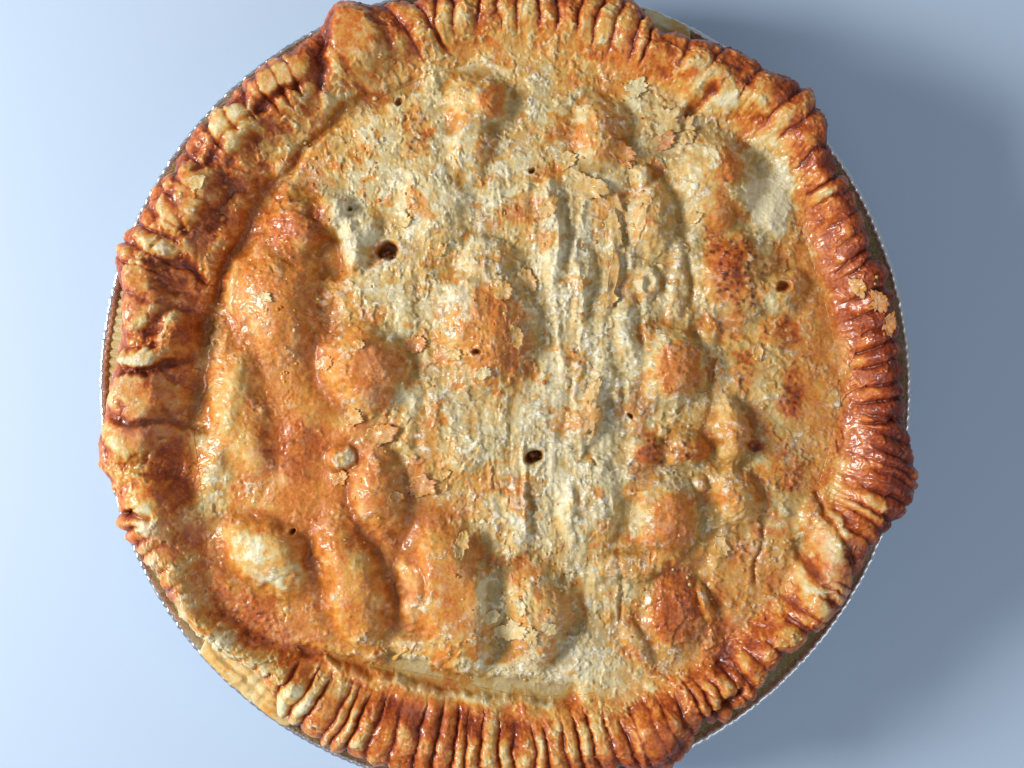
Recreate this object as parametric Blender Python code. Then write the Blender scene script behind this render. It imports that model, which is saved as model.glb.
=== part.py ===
"""A vegetable pot pie in the round foil tin that it was baked in.

Three solids fit into each other: the tin, the bottom crust that fills it and lies over its
rim, and the top crust with its lumpy lid and its crimped, lobed rim. Units are metres, +Z is
up, and the origin is the middle of the tin's flat base.
"""

import math

import bmesh
import bpy
from mathutils import Vector

MM = 0.001

# Driving dimensions of the tin
TIN_RIM_RADIUS = 115.0 * MM
TIN_MOUTH_RADIUS = 112.2 * MM
TIN_BASE_RADIUS = 87.0 * MM
TIN_HEIGHT = 36.0 * MM
FOIL_WALL = 0.6 * MM
BEAD_RADIUS = 0.8 * MM
BASE_CORNER = 1.5 * MM
FLANGE_DROP = 0.6 * MM

# Driving dimensions of the crusts
GAP = 0.3 * MM
WALL_CLEARANCE = 0.45 * MM
CRUST_EDGE_RADIUS = 111.6 * MM
VALLEY_RADIUS = 88.0 * MM
LEDGE_SETBACK = 2.0 * MM
LEDGE_THICKNESS = 2.1 * MM
LEDGE_NECK = 0.6 * MM
CREST_HEIGHT = 10.4 * MM
VALLEY_HEIGHT = 2.6 * MM
DOME_HEIGHT = 2.8 * MM
CRIMP_DEPTH = 0.9 * MM
CRIMP_REACH = 0.7 * MM

# Facets: the crimped rim has three facets for each one of the lid, the bottom crust and the tin
SEGMENTS = 80
RIM_SEGMENTS = 3 * SEGMENTS
LID_RINGS = 11
BEAD_STEPS = 5

# Lobes (+) and notches (-) of the top crust's outer edge: angle, half-width in degrees, height
EDGE_LOBES = (
    (44.0, 7.5, 7.6 * MM),
    (55.0, 5.0, 3.2 * MM),
    (73.0, 5.0, 3.6 * MM),
    (90.0, 9.0, 3.4 * MM),
    (113.0, 4.5, 6.0 * MM),
    (128.0, 8.0, 1.4 * MM),
    (140.0, 5.0, 1.6 * MM),
    (152.0, 4.0, 2.0 * MM),
    (160.5, 4.0, 4.2 * MM),
    (173.0, 6.0, -2.6 * MM),
    (189.0, 5.0, 4.6 * MM),
    (200.0, 4.5, 3.6 * MM),
    (229.0, 7.0, -4.6 * MM),
    (243.0, 6.0, 1.4 * MM),
    (270.0, 10.0, 2.0 * MM),
    (293.0, 4.5, 5.0 * MM),
    (316.0, 4.5, -2.6 * MM),
    (346.0, 7.0, 7.4 * MM),
    (20.5, 2.5, -1.8 * MM),
)
# The valley between the rim and the lid runs wider or narrower the same way
VALLEY_LOBES = (
    (42.0, 28.0, 7.0 * MM),
    (92.0, 14.0, 3.0 * MM),
    (160.0, 20.0, -5.0 * MM),
    (218.0, 13.0, 11.0 * MM),
    (258.0, 16.0, -5.0 * MM),
    (322.0, 22.0, 6.0 * MM),
    (0.0, 14.0, 4.0 * MM),
)
# The crest of the rim stands higher at its fat folds
CREST_LOBES = (
    (44.0, 12.0, 1.0 * MM),
    (120.0, 14.0, 1.0 * MM),
    (165.0, 16.0, 0.8 * MM),
    (262.0, 20.0, -0.8 * MM),
    (345.0, 12.0, 0.6 * MM),
)
# Stretches of the rim that the crimping reached: middle and half-width in degrees
CRIMPED_STRETCHES = ((345.0, 50.0), (262.0, 30.0), (204.0, 10.0), (170.0, 9.0), (80.0, 20.0), (132.0, 7.0))
# The bottom crust shows past the top crust here: middle and half-width in degrees, radius
SHOWN_LEDGES = ((229.0, 8.0, 113.4 * MM), (66.0, 4.0, 114.2 * MM))

# Vegetables under the lid push it up: x, y, two half-axes, turn in degrees, height
LID_LUMPS = (
    (-5.0 * MM, 18.0 * MM, 12.0 * MM, 17.0 * MM, 0.0, 3.6 * MM),
    (-65.0 * MM, 24.0 * MM, 10.0 * MM, 15.0 * MM, 10.0, 3.0 * MM),
    (-39.0 * MM, 5.0 * MM, 11.0 * MM, 11.0 * MM, 0.0, 3.6 * MM),
    (46.0 * MM, 6.0 * MM, 10.0 * MM, 11.0 * MM, 0.0, 3.4 * MM),
    (59.0 * MM, 57.0 * MM, 11.0 * MM, 13.0 * MM, 15.0, 3.6 * MM),
    (45.0 * MM, -36.0 * MM, 9.0 * MM, 11.0 * MM, 0.0, 3.4 * MM),
    (-8.0 * MM, 79.0 * MM, 10.0 * MM, 8.0 * MM, 0.0, 2.6 * MM),
    (27.0 * MM, 71.0 * MM, 8.0 * MM, 9.0 * MM, 0.0, 2.6 * MM),
    (-66.0 * MM, -47.0 * MM, 13.0 * MM, 9.0 * MM, -35.0, 3.4 * MM),
    (-42.0 * MM, -54.0 * MM, 9.0 * MM, 16.0 * MM, 20.0, 3.0 * MM),
    (-17.0 * MM, -57.0 * MM, 13.0 * MM, 17.0 * MM, 0.0, 4.0 * MM),
    (9.0 * MM, -61.0 * MM, 10.0 * MM, 11.0 * MM, 0.0, 3.4 * MM),
    (-36.0 * MM, -28.0 * MM, 8.0 * MM, 12.0 * MM, 0.0, 2.8 * MM),
    (65.0 * MM, -20.0 * MM, 8.0 * MM, 15.0 * MM, 0.0, 2.8 * MM),
    (-56.0 * MM, 46.0 * MM, 11.0 * MM, 8.0 * MM, 20.0, 2.6 * MM),
    (-49.0 * MM, 36.0 * MM, 7.0 * MM, 6.0 * MM, 0.0, -3.0 * MM),
)

# Section of the top crust's rim: share of its width from the edge in, share of its height,
# and how strongly the crimps mark it
RIM_SECTION = (
    (0.000, 0.20, 0.5),
    (0.035, 0.46, 0.9),
    (0.130, 0.80, 1.0),
    (0.300, 1.00, 1.0),
    (0.520, 0.90, 0.8),
    (0.760, 0.50, 0.3),
)

# Levels worked out from the driving dimensions
FLANGE_LEVEL = TIN_HEIGHT - FLANGE_DROP
INNER_BASE_RADIUS = TIN_BASE_RADIUS - BASE_CORNER * 0.6
LEDGE_LEVEL = TIN_HEIGHT + GAP
BOTTOM_CRUST_TOP = LEDGE_LEVEL + LEDGE_THICKNESS
TOP_CRUST_BASE = BOTTOM_CRUST_TOP + GAP


def clear_scene():
    """Remove whatever the scene holds."""
    for obj in list(bpy.data.objects):
        bpy.data.objects.remove(obj, do_unlink=True)


def make_material(name, colour, roughness, metallic):
    """Return a plain material of one colour."""
    material = bpy.data.materials.new(name)
    material.use_nodes = True
    shader = material.node_tree.nodes["Principled BSDF"]
    shader.inputs["Base Color"].default_value = (*colour, 1.0)
    shader.inputs["Roughness"].default_value = roughness
    shader.inputs["Metallic"].default_value = metallic
    return material


def angle_between(first, second):
    """Return the smallest angle in degrees between two directions."""
    return abs((first - second + 180.0) % 360.0 - 180.0)


def bell(distance, half_width):
    """Return 1 at no distance, falling softly to 0 at about twice the half-width."""
    return math.exp(-((distance / half_width) ** 2))


def lobed(base, lobes, degrees):
    """Return a base value with every lobe's share at this angle added to it."""
    return base + sum(height * bell(angle_between(degrees, middle), width)
                      for middle, width, height in lobes)


def crust_edge(degrees):
    """Return the radius of the top crust's outer edge."""
    return lobed(CRUST_EDGE_RADIUS, EDGE_LOBES, degrees)


def valley(degrees):
    """Return the radius of the valley between the rim and the lid."""
    return lobed(VALLEY_RADIUS, VALLEY_LOBES, degrees)


def ledge_edge(degrees):
    """Return the radius of the bottom crust where it lies over the tin's rim."""
    radius = crust_edge(degrees) - LEDGE_SETBACK
    for middle, half_width, reach in SHOWN_LEDGES:
        if angle_between(degrees, middle) < half_width:
            radius = max(radius, reach)
    return radius


def crimp_strength(degrees):
    """Return how clearly the rim is crimped at this angle, from 0 to 1."""
    fade = 6.0
    strengths = [(half_width - angle_between(degrees, middle)) / fade + 0.5
                 for middle, half_width in CRIMPED_STRETCHES]
    return min(1.0, max(0.0, *strengths))


def lump_height(x, y):
    """Return how far the vegetables push the lid up at this point."""
    total = 0.0
    for middle_x, middle_y, half_a, half_b, turn, height in LID_LUMPS:
        cos_turn = math.cos(math.radians(turn))
        sin_turn = math.sin(math.radians(turn))
        along = (x - middle_x) * cos_turn + (y - middle_y) * sin_turn
        across = (y - middle_y) * cos_turn - (x - middle_x) * sin_turn
        total += height * bell(math.hypot(along / half_a, across / half_b), 1.0)
    return total


def lid_height(share, x, y):
    """Return the lid's height over the top crust's base.

    share is the distance from the middle as a share of the valley's radius.
    """
    dome = VALLEY_HEIGHT + DOME_HEIGHT * (1.0 - share ** 4)
    settled = 1.0 - share ** 6
    return dome + lump_height(x, y) * settled


def ring(mesh, count, radius_of, level_of):
    """Return a closed ring of vertices whose radius and level depend on the angle."""
    vertices = []
    for index in range(count):
        degrees = 360.0 * index / count
        radius = radius_of(degrees)
        x = radius * math.cos(math.radians(degrees))
        y = radius * math.sin(math.radians(degrees))
        vertices.append(mesh.verts.new((x, y, level_of(degrees, x, y))))
    return vertices


def join_rings(mesh, first, second):
    """Join two rings with faces. The first may have a whole number of times more vertices."""
    step = len(first) // len(second)
    for index, vertex in enumerate(second):
        following = second[(index + 1) % len(second)]
        start = index * step
        middle = start + step // 2
        for offset in range(step):
            near = first[start + offset]
            far = first[(start + offset + 1) % len(first)]
            if step == 1:
                mesh.faces.new((near, far, following, vertex))
            elif start + offset < middle:
                mesh.faces.new((near, far, vertex))
            elif start + offset == middle:
                mesh.faces.new((near, far, following, vertex))
            else:
                mesh.faces.new((near, far, following))


def close_ring(mesh, vertices, level):
    """Close a ring with a fan of faces round a vertex on the axis."""
    hub = mesh.verts.new((0.0, 0.0, level))
    for index, vertex in enumerate(vertices):
        mesh.faces.new((vertex, vertices[(index + 1) % len(vertices)], hub))


def finish_object(mesh, name, material):
    """Turn a bmesh into a named object, with its faces pointing out and smooth shading."""
    bmesh.ops.recalc_face_normals(mesh, faces=mesh.faces)
    data = bpy.data.meshes.new(name)
    mesh.to_mesh(data)
    mesh.free()
    data.materials.append(material)
    data.shade_smooth()
    data.set_sharp_from_angle(angle=math.radians(50.0))
    obj = bpy.data.objects.new(name, data)
    bpy.context.scene.collection.objects.link(obj)
    return obj


def tin_profile():
    """Return the tin's half-section, from the middle of its base out, over the bead and back."""
    bead_x = TIN_RIM_RADIUS - BEAD_RADIUS
    bead_z = TIN_HEIGHT - BEAD_RADIUS
    outer_mouth = TIN_MOUTH_RADIUS + FOIL_WALL * 1.2
    points = [
        (0.0, 0.0),
        (TIN_BASE_RADIUS - BASE_CORNER, 0.0),
        (TIN_BASE_RADIUS, BASE_CORNER * 0.8),
        (outer_mouth, FLANGE_LEVEL - FOIL_WALL),
    ]
    for step in range(BEAD_STEPS + 1):
        turn = math.radians(-110.0 + 250.0 * step / BEAD_STEPS)
        points.append((bead_x + BEAD_RADIUS * math.cos(turn), bead_z + BEAD_RADIUS * math.sin(turn)))
    points += [
        (TIN_MOUTH_RADIUS, FLANGE_LEVEL),
        (INNER_BASE_RADIUS, FOIL_WALL),
        (0.0, FOIL_WALL),
    ]
    return points


def build_tin(material):
    """Make the foil tin by turning its half-section round the axis."""
    mesh = bmesh.new()
    section = [mesh.verts.new((radius, 0.0, level)) for radius, level in tin_profile()]
    edges = [mesh.edges.new(pair) for pair in zip(section, section[1:])]
    bmesh.ops.spin(mesh, geom=section + edges, axis=Vector((0.0, 0.0, 1.0)), cent=Vector(),
                   angle=math.tau, steps=SEGMENTS, use_merge=True)
    bmesh.ops.remove_doubles(mesh, verts=mesh.verts, dist=0.01 * MM)
    return finish_object(mesh, "foil_tin", material)


def inner_wall(level):
    """Return the radius of the tin's inner wall at this level."""
    share = (level - FOIL_WALL) / (FLANGE_LEVEL - FOIL_WALL)
    return INNER_BASE_RADIUS + share * (TIN_MOUTH_RADIUS - INNER_BASE_RADIUS)


def build_bottom_crust(material):
    """Make the bottom crust, one solid that fills the tin and lies over its rim."""
    base_level = FOIL_WALL + GAP
    shoulder_level = 0.75 * TIN_HEIGHT
    neck_level = FLANGE_LEVEL - 0.8 * MM
    neck_radius = inner_wall(neck_level) - WALL_CLEARANCE

    def neck(degrees):
        """Return the radius where the crust leaves the mouth of the tin."""
        return min(neck_radius, ledge_edge(degrees) - LEDGE_NECK)

    sections = (
        (lambda degrees: inner_wall(base_level) - WALL_CLEARANCE, base_level),
        (lambda degrees: inner_wall(shoulder_level) - WALL_CLEARANCE, shoulder_level),
        (neck, neck_level),
        (neck, LEDGE_LEVEL),
        (ledge_edge, LEDGE_LEVEL + 0.3 * MM),
        (ledge_edge, BOTTOM_CRUST_TOP - 0.7 * MM),
        (lambda degrees: ledge_edge(degrees) - 1.0 * MM, BOTTOM_CRUST_TOP),
    )
    mesh = bmesh.new()
    rings = [ring(mesh, SEGMENTS, radius_of, lambda degrees, x, y, level=level: level)
             for radius_of, level in sections]
    for lower, upper in zip(rings, rings[1:]):
        join_rings(mesh, lower, upper)
    close_ring(mesh, rings[0], base_level)
    close_ring(mesh, rings[-1], BOTTOM_CRUST_TOP)
    return finish_object(mesh, "bottom_crust", material)


def crimp(degrees, index):
    """Return +1 on a ridge and -1 in a groove of the crimping, times its strength."""
    side = 1.0 if index % 2 == 0 else -1.0
    return side * crimp_strength(degrees)


def build_rim_ring(mesh, inward, rise, marking):
    """Return one ring of the rim's section, with the crimps marked on it."""
    vertices = []
    for index in range(RIM_SEGMENTS):
        degrees = 360.0 * index / RIM_SEGMENTS
        width = crust_edge(degrees) - valley(degrees)
        ridge = crimp(degrees, index) * marking
        outer_share = 1.0 - inward
        radius = crust_edge(degrees) - inward * width + ridge * CRIMP_REACH * outer_share
        crest = lobed(CREST_HEIGHT, CREST_LOBES, degrees)
        level = TOP_CRUST_BASE + rise * crest + ridge * CRIMP_DEPTH * (1.0 - inward ** 2)
        x = radius * math.cos(math.radians(degrees))
        y = radius * math.sin(math.radians(degrees))
        vertices.append(mesh.verts.new((x, y, level)))
    return vertices


def build_top_crust(material):
    """Make the top crust: a crimped rim, a valley inside it and a lumpy lid."""
    mesh = bmesh.new()
    underside = ring(mesh, RIM_SEGMENTS, lambda degrees: crust_edge(degrees) - 1.6 * MM,
                     lambda degrees, x, y: TOP_CRUST_BASE)
    close_ring(mesh, underside, TOP_CRUST_BASE)
    outer = underside
    for inward, rise, marking in RIM_SECTION:
        inner = build_rim_ring(mesh, inward, rise, marking)
        join_rings(mesh, outer, inner)
        outer = inner
    for step in range(LID_RINGS):
        share = 1.0 - step / LID_RINGS
        inner = ring(mesh, SEGMENTS, lambda degrees, share=share: valley(degrees) * share,
                     lambda degrees, x, y, share=share: TOP_CRUST_BASE + lid_height(share, x, y))
        join_rings(mesh, outer, inner)
        outer = inner
    close_ring(mesh, outer, TOP_CRUST_BASE + lid_height(0.0, 0.0, 0.0))
    return finish_object(mesh, "top_crust", material)


def main():
    """Build the pie."""
    clear_scene()
    build_tin(make_material("foil", (0.74, 0.75, 0.77), 0.3, 1.0))
    build_bottom_crust(make_material("baked_dough", (0.68, 0.47, 0.24), 0.6, 0.0))
    build_top_crust(make_material("golden_crust", (0.76, 0.48, 0.2), 0.5, 0.0))


main()
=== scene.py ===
"""The looks of a vegetable pot pie that stands in the foil tin it was baked in.

The crust's relief and its baking are worked out once, on a fine map that is the crust laid
flat. The lid and the rim are bmesh shapes that take their heights and their paint from that
map, so they meet without a seam. The tin, the bottom crust, the loose flakes, the crumbs and
what shows in the vents are pieces of their own. Sizes are in millimetres until a mesh is made.
"""

import logging
import math
from dataclasses import dataclass, field, replace
from enum import Enum

import bmesh
import bpy
import numpy as np
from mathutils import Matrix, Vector


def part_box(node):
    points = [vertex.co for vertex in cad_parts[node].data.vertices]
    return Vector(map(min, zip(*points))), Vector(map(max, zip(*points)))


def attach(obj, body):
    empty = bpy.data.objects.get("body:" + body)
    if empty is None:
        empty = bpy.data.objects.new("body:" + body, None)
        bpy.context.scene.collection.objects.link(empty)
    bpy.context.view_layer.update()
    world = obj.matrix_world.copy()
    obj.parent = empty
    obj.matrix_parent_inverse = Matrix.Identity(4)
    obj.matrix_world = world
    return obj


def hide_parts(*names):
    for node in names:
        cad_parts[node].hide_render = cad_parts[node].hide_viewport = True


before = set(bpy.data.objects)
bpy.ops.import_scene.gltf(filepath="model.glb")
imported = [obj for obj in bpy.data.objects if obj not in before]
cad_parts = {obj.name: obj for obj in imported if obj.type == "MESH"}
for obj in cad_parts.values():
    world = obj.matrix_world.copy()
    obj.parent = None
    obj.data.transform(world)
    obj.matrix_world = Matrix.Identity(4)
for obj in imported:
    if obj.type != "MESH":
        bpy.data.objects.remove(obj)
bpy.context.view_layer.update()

logging.basicConfig(level=logging.INFO, format="%(message)s")
LOG = logging.getLogger("pie")

Array = np.ndarray
MM = 0.001
BODY = "root"


# ---------------------------------------------------------------- numbers over arrays


def smooth(low: float, high: float, value: Array) -> Array:
    """Return a soft step from 0 at low to 1 at high."""
    share = np.clip((value - low) / (high - low), 0.0, 1.0)
    return share * share * (3.0 - 2.0 * share)


def turn_between(first: Array, second: float) -> Array:
    """Return the smallest angle in degrees between directions."""
    return np.abs((first - second + 180.0) % 360.0 - 180.0)


def facing(degrees: float) -> tuple[float, float]:
    """Return the cosine and the sine of an angle."""
    return math.cos(math.radians(degrees)), math.sin(math.radians(degrees))


GRADIENTS = 1024
GRADIENT_X = np.cos(np.arange(GRADIENTS) * math.tau / GRADIENTS).astype(np.float32)
GRADIENT_Y = np.sin(np.arange(GRADIENTS) * math.tau / GRADIENTS).astype(np.float32)


class Noise:
    """Seeded gradient noise in a plane, worked out for whole arrays."""

    def __init__(self, seed: int) -> None:
        """Keep the seed, which alone decides the pattern."""
        self.seed = seed

    def _mixed(self, column: Array, row: Array, salt: int = 0) -> Array:
        """Return a well mixed whole number for each cell of the lattice."""
        start = np.uint32((self.seed * 974711 + salt * 7919) & 0xFFFFFFFF)
        mixed = column.astype(np.uint32) * np.uint32(374761393)
        mixed += row.astype(np.uint32) * np.uint32(668265263)
        mixed += start
        mixed ^= mixed >> np.uint32(13)
        mixed *= np.uint32(1274126177)
        return mixed ^ (mixed >> np.uint32(16))

    def chance(self, column: Array, row: Array, salt: int = 0) -> Array:
        """Return a number from 0 to 1 for each cell of the lattice."""
        return (self._mixed(column, row, salt) >> np.uint32(8)).astype(np.float32) / 16777216.0

    def plain(self, x: Array, y: Array, size: float) -> Array:
        """Return smooth noise between about -1 and 1.

        Args:
            x: Places across, in millimetres.
            y: Places along, in millimetres.
            size: The size of one swelling of the noise.

        Returns:
            One value for each place.
        """
        x, y = (x / size).astype(np.float32), (y / size).astype(np.float32)
        column, row = np.floor(x), np.floor(y)
        dx, dy = x - column, y - row
        column, row = column.astype(np.int32), row.astype(np.int32)
        ease_x = dx * dx * (3.0 - 2.0 * dx)
        ease_y = dy * dy * (3.0 - 2.0 * dy)
        sides = []
        for step_y in (0, 1):
            ends = []
            for step_x in (0, 1):
                pick = self._mixed(column + step_x, row + step_y) & np.uint32(GRADIENTS - 1)
                ends.append(GRADIENT_X[pick] * (dx - step_x) + GRADIENT_Y[pick] * (dy - step_y))
            sides.append(ends[0] + ease_x * (ends[1] - ends[0]))
        return 1.5 * (sides[0] + ease_y * (sides[1] - sides[0]))

    def fractal(self, x: Array, y: Array, size: float, octaves: int = 3, gain: float = 0.5) -> Array:
        """Return noise with finer and finer noise on it.

        Args:
            x: Places across.
            y: Places along.
            size: The size of the coarsest swelling.
            octaves: How many layers there are, each half as fine as the last.
            gain: The strength of each layer as a share of the last one's.

        Returns:
            One value for each place, between about -1 and 1.
        """
        total, strength, reach = 0.0, 1.0, 0.0
        for layer in range(octaves):
            total = total + strength * Noise(self.seed + 31 * layer).plain(x, y, size / 2**layer)
            reach += strength * strength
            strength *= gain
        return total / math.sqrt(reach)

    def cells(self, x: Array, y: Array, size: float) -> tuple[Array, Array]:
        """Return each place's distance to the nearest of scattered points, and its number.

        Args:
            x: Places across.
            y: Places along.
            size: The usual distance between two of the points.

        Returns:
            The distances as shares of size, and a number from 0 to 1 for the nearest point.
        """
        x, y = x / size, y / size
        column, row = np.floor(x).astype(np.int32), np.floor(y).astype(np.int32)
        nearest = np.full(x.shape, 9.0, dtype=np.float32)
        number = np.zeros(x.shape, dtype=np.float32)
        for step_y in (-1, 0, 1):
            for step_x in (-1, 0, 1):
                at_x, at_y = column + step_x, row + step_y
                distance = np.hypot(at_x + self.chance(at_x, at_y, 1) - x,
                                    at_y + self.chance(at_x, at_y, 2) - y)
                closer = distance < nearest
                nearest = np.where(closer, distance, nearest)
                number = np.where(closer, self.chance(at_x, at_y, 3), number)
        return nearest, number


def round_ring(degrees: Array, radius: float = 110.0) -> tuple[Array, Array]:
    """Return places on a circle in millimetres, so that noise read there has no seam."""
    turn = np.radians(degrees)
    return radius * np.cos(turn), radius * np.sin(turn)


# ---------------------------------------------------------------- features of the crust


@dataclass(frozen=True)
class Lobe:
    """A place round the pie where a radius or a height swells or falls back."""

    angle: float
    half_width: float
    amount: float

    def share(self, degrees: Array) -> Array:
        """Return the lobe's amount at these angles."""
        return self.amount * np.exp(-((turn_between(degrees, self.angle) / self.half_width) ** 2))


@dataclass(frozen=True)
class Lump:
    """A swelling of the crust over a vegetable, or a hollow where the height is negative."""

    x: float
    y: float
    half_a: float
    half_b: float
    height: float
    browning: float = 0.0
    turn: float = 0.0
    flatness: float = 3.2
    moat: float = 0.14

    def distance(self, x: Array, y: Array) -> Array:
        """Return how far out each place is, with 1 at the lump's foot."""
        cos_turn, sin_turn = facing(self.turn)
        along = (x - self.x) * cos_turn + (y - self.y) * sin_turn
        across = (y - self.y) * cos_turn - (x - self.x) * sin_turn
        return np.hypot(along / self.half_a, across / self.half_b)


@dataclass(frozen=True)
class Stain:
    """A patch where the crust baked darker or stayed paler, or where light or shade is painted into its
    colour.
    """

    x: float
    y: float
    half_a: float
    half_b: float
    browning: float = 0.0
    turn: float = 0.0
    freckles: float = 0.0
    pallor: float = 0.0
    rose: float = 0.0
    calm: float = 0.0

    def outline(self) -> Lump:
        """Return the patch's outline as a flat lump."""
        return Lump(self.x, self.y, self.half_a, self.half_b, 0.0, 0.0, self.turn)


@dataclass(frozen=True)
class Fold:
    """A ridge or, with a negative height, a crease that follows a few points."""

    points: tuple[tuple[float, float], ...]
    half_width: float
    height: float
    browning: float = 0.0
    # how strongly a crease darkens its colour with painted shade
    shade: float = 0.5


@dataclass(frozen=True)
class CrimpRun:
    """A stretch of the rim that was pressed into ridges between grooves at these angles."""

    grooves: tuple[float, ...]
    depth: float
    reach: float = 0.5
    slant: float = 0.0


EDGE_LOBES = (
    Lobe(44, 7.5, 7.6), Lobe(55, 5, 3.2), Lobe(73, 5, 3.6), Lobe(90, 9, 3.4),
    Lobe(113, 4.5, 6), Lobe(128, 8, 1.4), Lobe(140, 5, 1.6), Lobe(152, 4, 2),
    Lobe(160.5, 4, 4.2), Lobe(173, 6, -2.6), Lobe(189, 5, 4.6), Lobe(200, 4.5, 3.6),
    Lobe(229, 7, -4.6), Lobe(243, 6, 1.4), Lobe(270, 10, 2), Lobe(293, 4.5, 5),
    Lobe(316, 4.5, -2.6), Lobe(346, 7, 7.4), Lobe(20.5, 2.5, -1.8), Lobe(300.5, 1.6, -1.6),
    Lobe(66.5, 1.8, -2.2), Lobe(235.5, 1.5, 1.4),
)
VALLEY_LOBES = (
    Lobe(42, 28, 7), Lobe(92, 14, 3), Lobe(160, 20, -5), Lobe(218, 13, 11),
    Lobe(258, 16, -5), Lobe(322, 22, 6), Lobe(0, 14, 4),
)
CREST_LOBES = (
    Lobe(44, 12, 1), Lobe(120, 14, 1), Lobe(165, 16, 0.8), Lobe(262, 20, -0.8),
    Lobe(345, 12, 0.6),
)
CRIMP_RUNS = (
    CrimpRun((-59, -57.3, -55, -52.3, -50, -47.3, -44, -39.3), 2.8, 0.26),
    CrimpRun((-38.5, -36.5, -33.3, -31.5, -30.2), 1.8, 0.4),
    CrimpRun((-23, -20.5, -18.8, -16, -13.3, -12, -10, -7.5, -5), 2, 0.3, 2.4),
    CrimpRun((-4.7, -1.9, 0.9, 3.9, 6.8, 9.1, 12, 15, 19, 20.6), 2.4, 0.22, -1.6),
    CrimpRun((20.6, 23.5, 26.5, 30, 32.5), 2, 0.25),
    CrimpRun((37.5, 42, 45.5, 51.5, 57.5, 61.5), 2.4, 0.3),
    CrimpRun((67.5, 69.5, 73, 76, 79, 82, 84.8, 88.5, 91, 94, 97.9, 100.5), 2.5, 0.28),
    CrimpRun((102.5, 106.5, 117.5), 2.2, 0.02, -4),
    CrimpRun((124, 126.5, 129, 132, 135.5, 139), 2.2, 0.4, 2),
    CrimpRun((144, 147.5, 150, 153.5), 1.8, 0.45, 2),
    CrimpRun((156, 159, 161.5, 166), 2.2, 0.45, 1),
    CrimpRun((-162, -159.5, -157, -155, -152, -149), 2.6, 0.5),
    CrimpRun((-140.5, -139, -137, -134, -131.5, -129.5), 1.9, 0.45),
    CrimpRun((-126.5, -123.5, -121, -117.5, -116, -113.8, -110.8, -107.5, -104, -101, -98,
              -96.2, -94, -91, -88.5, -85.5, -83.3, -80.5, -78.7, -76, -73, -70.8, -69,
              -66, -64, -61.5), 2.8, 0.2),
)

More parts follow.
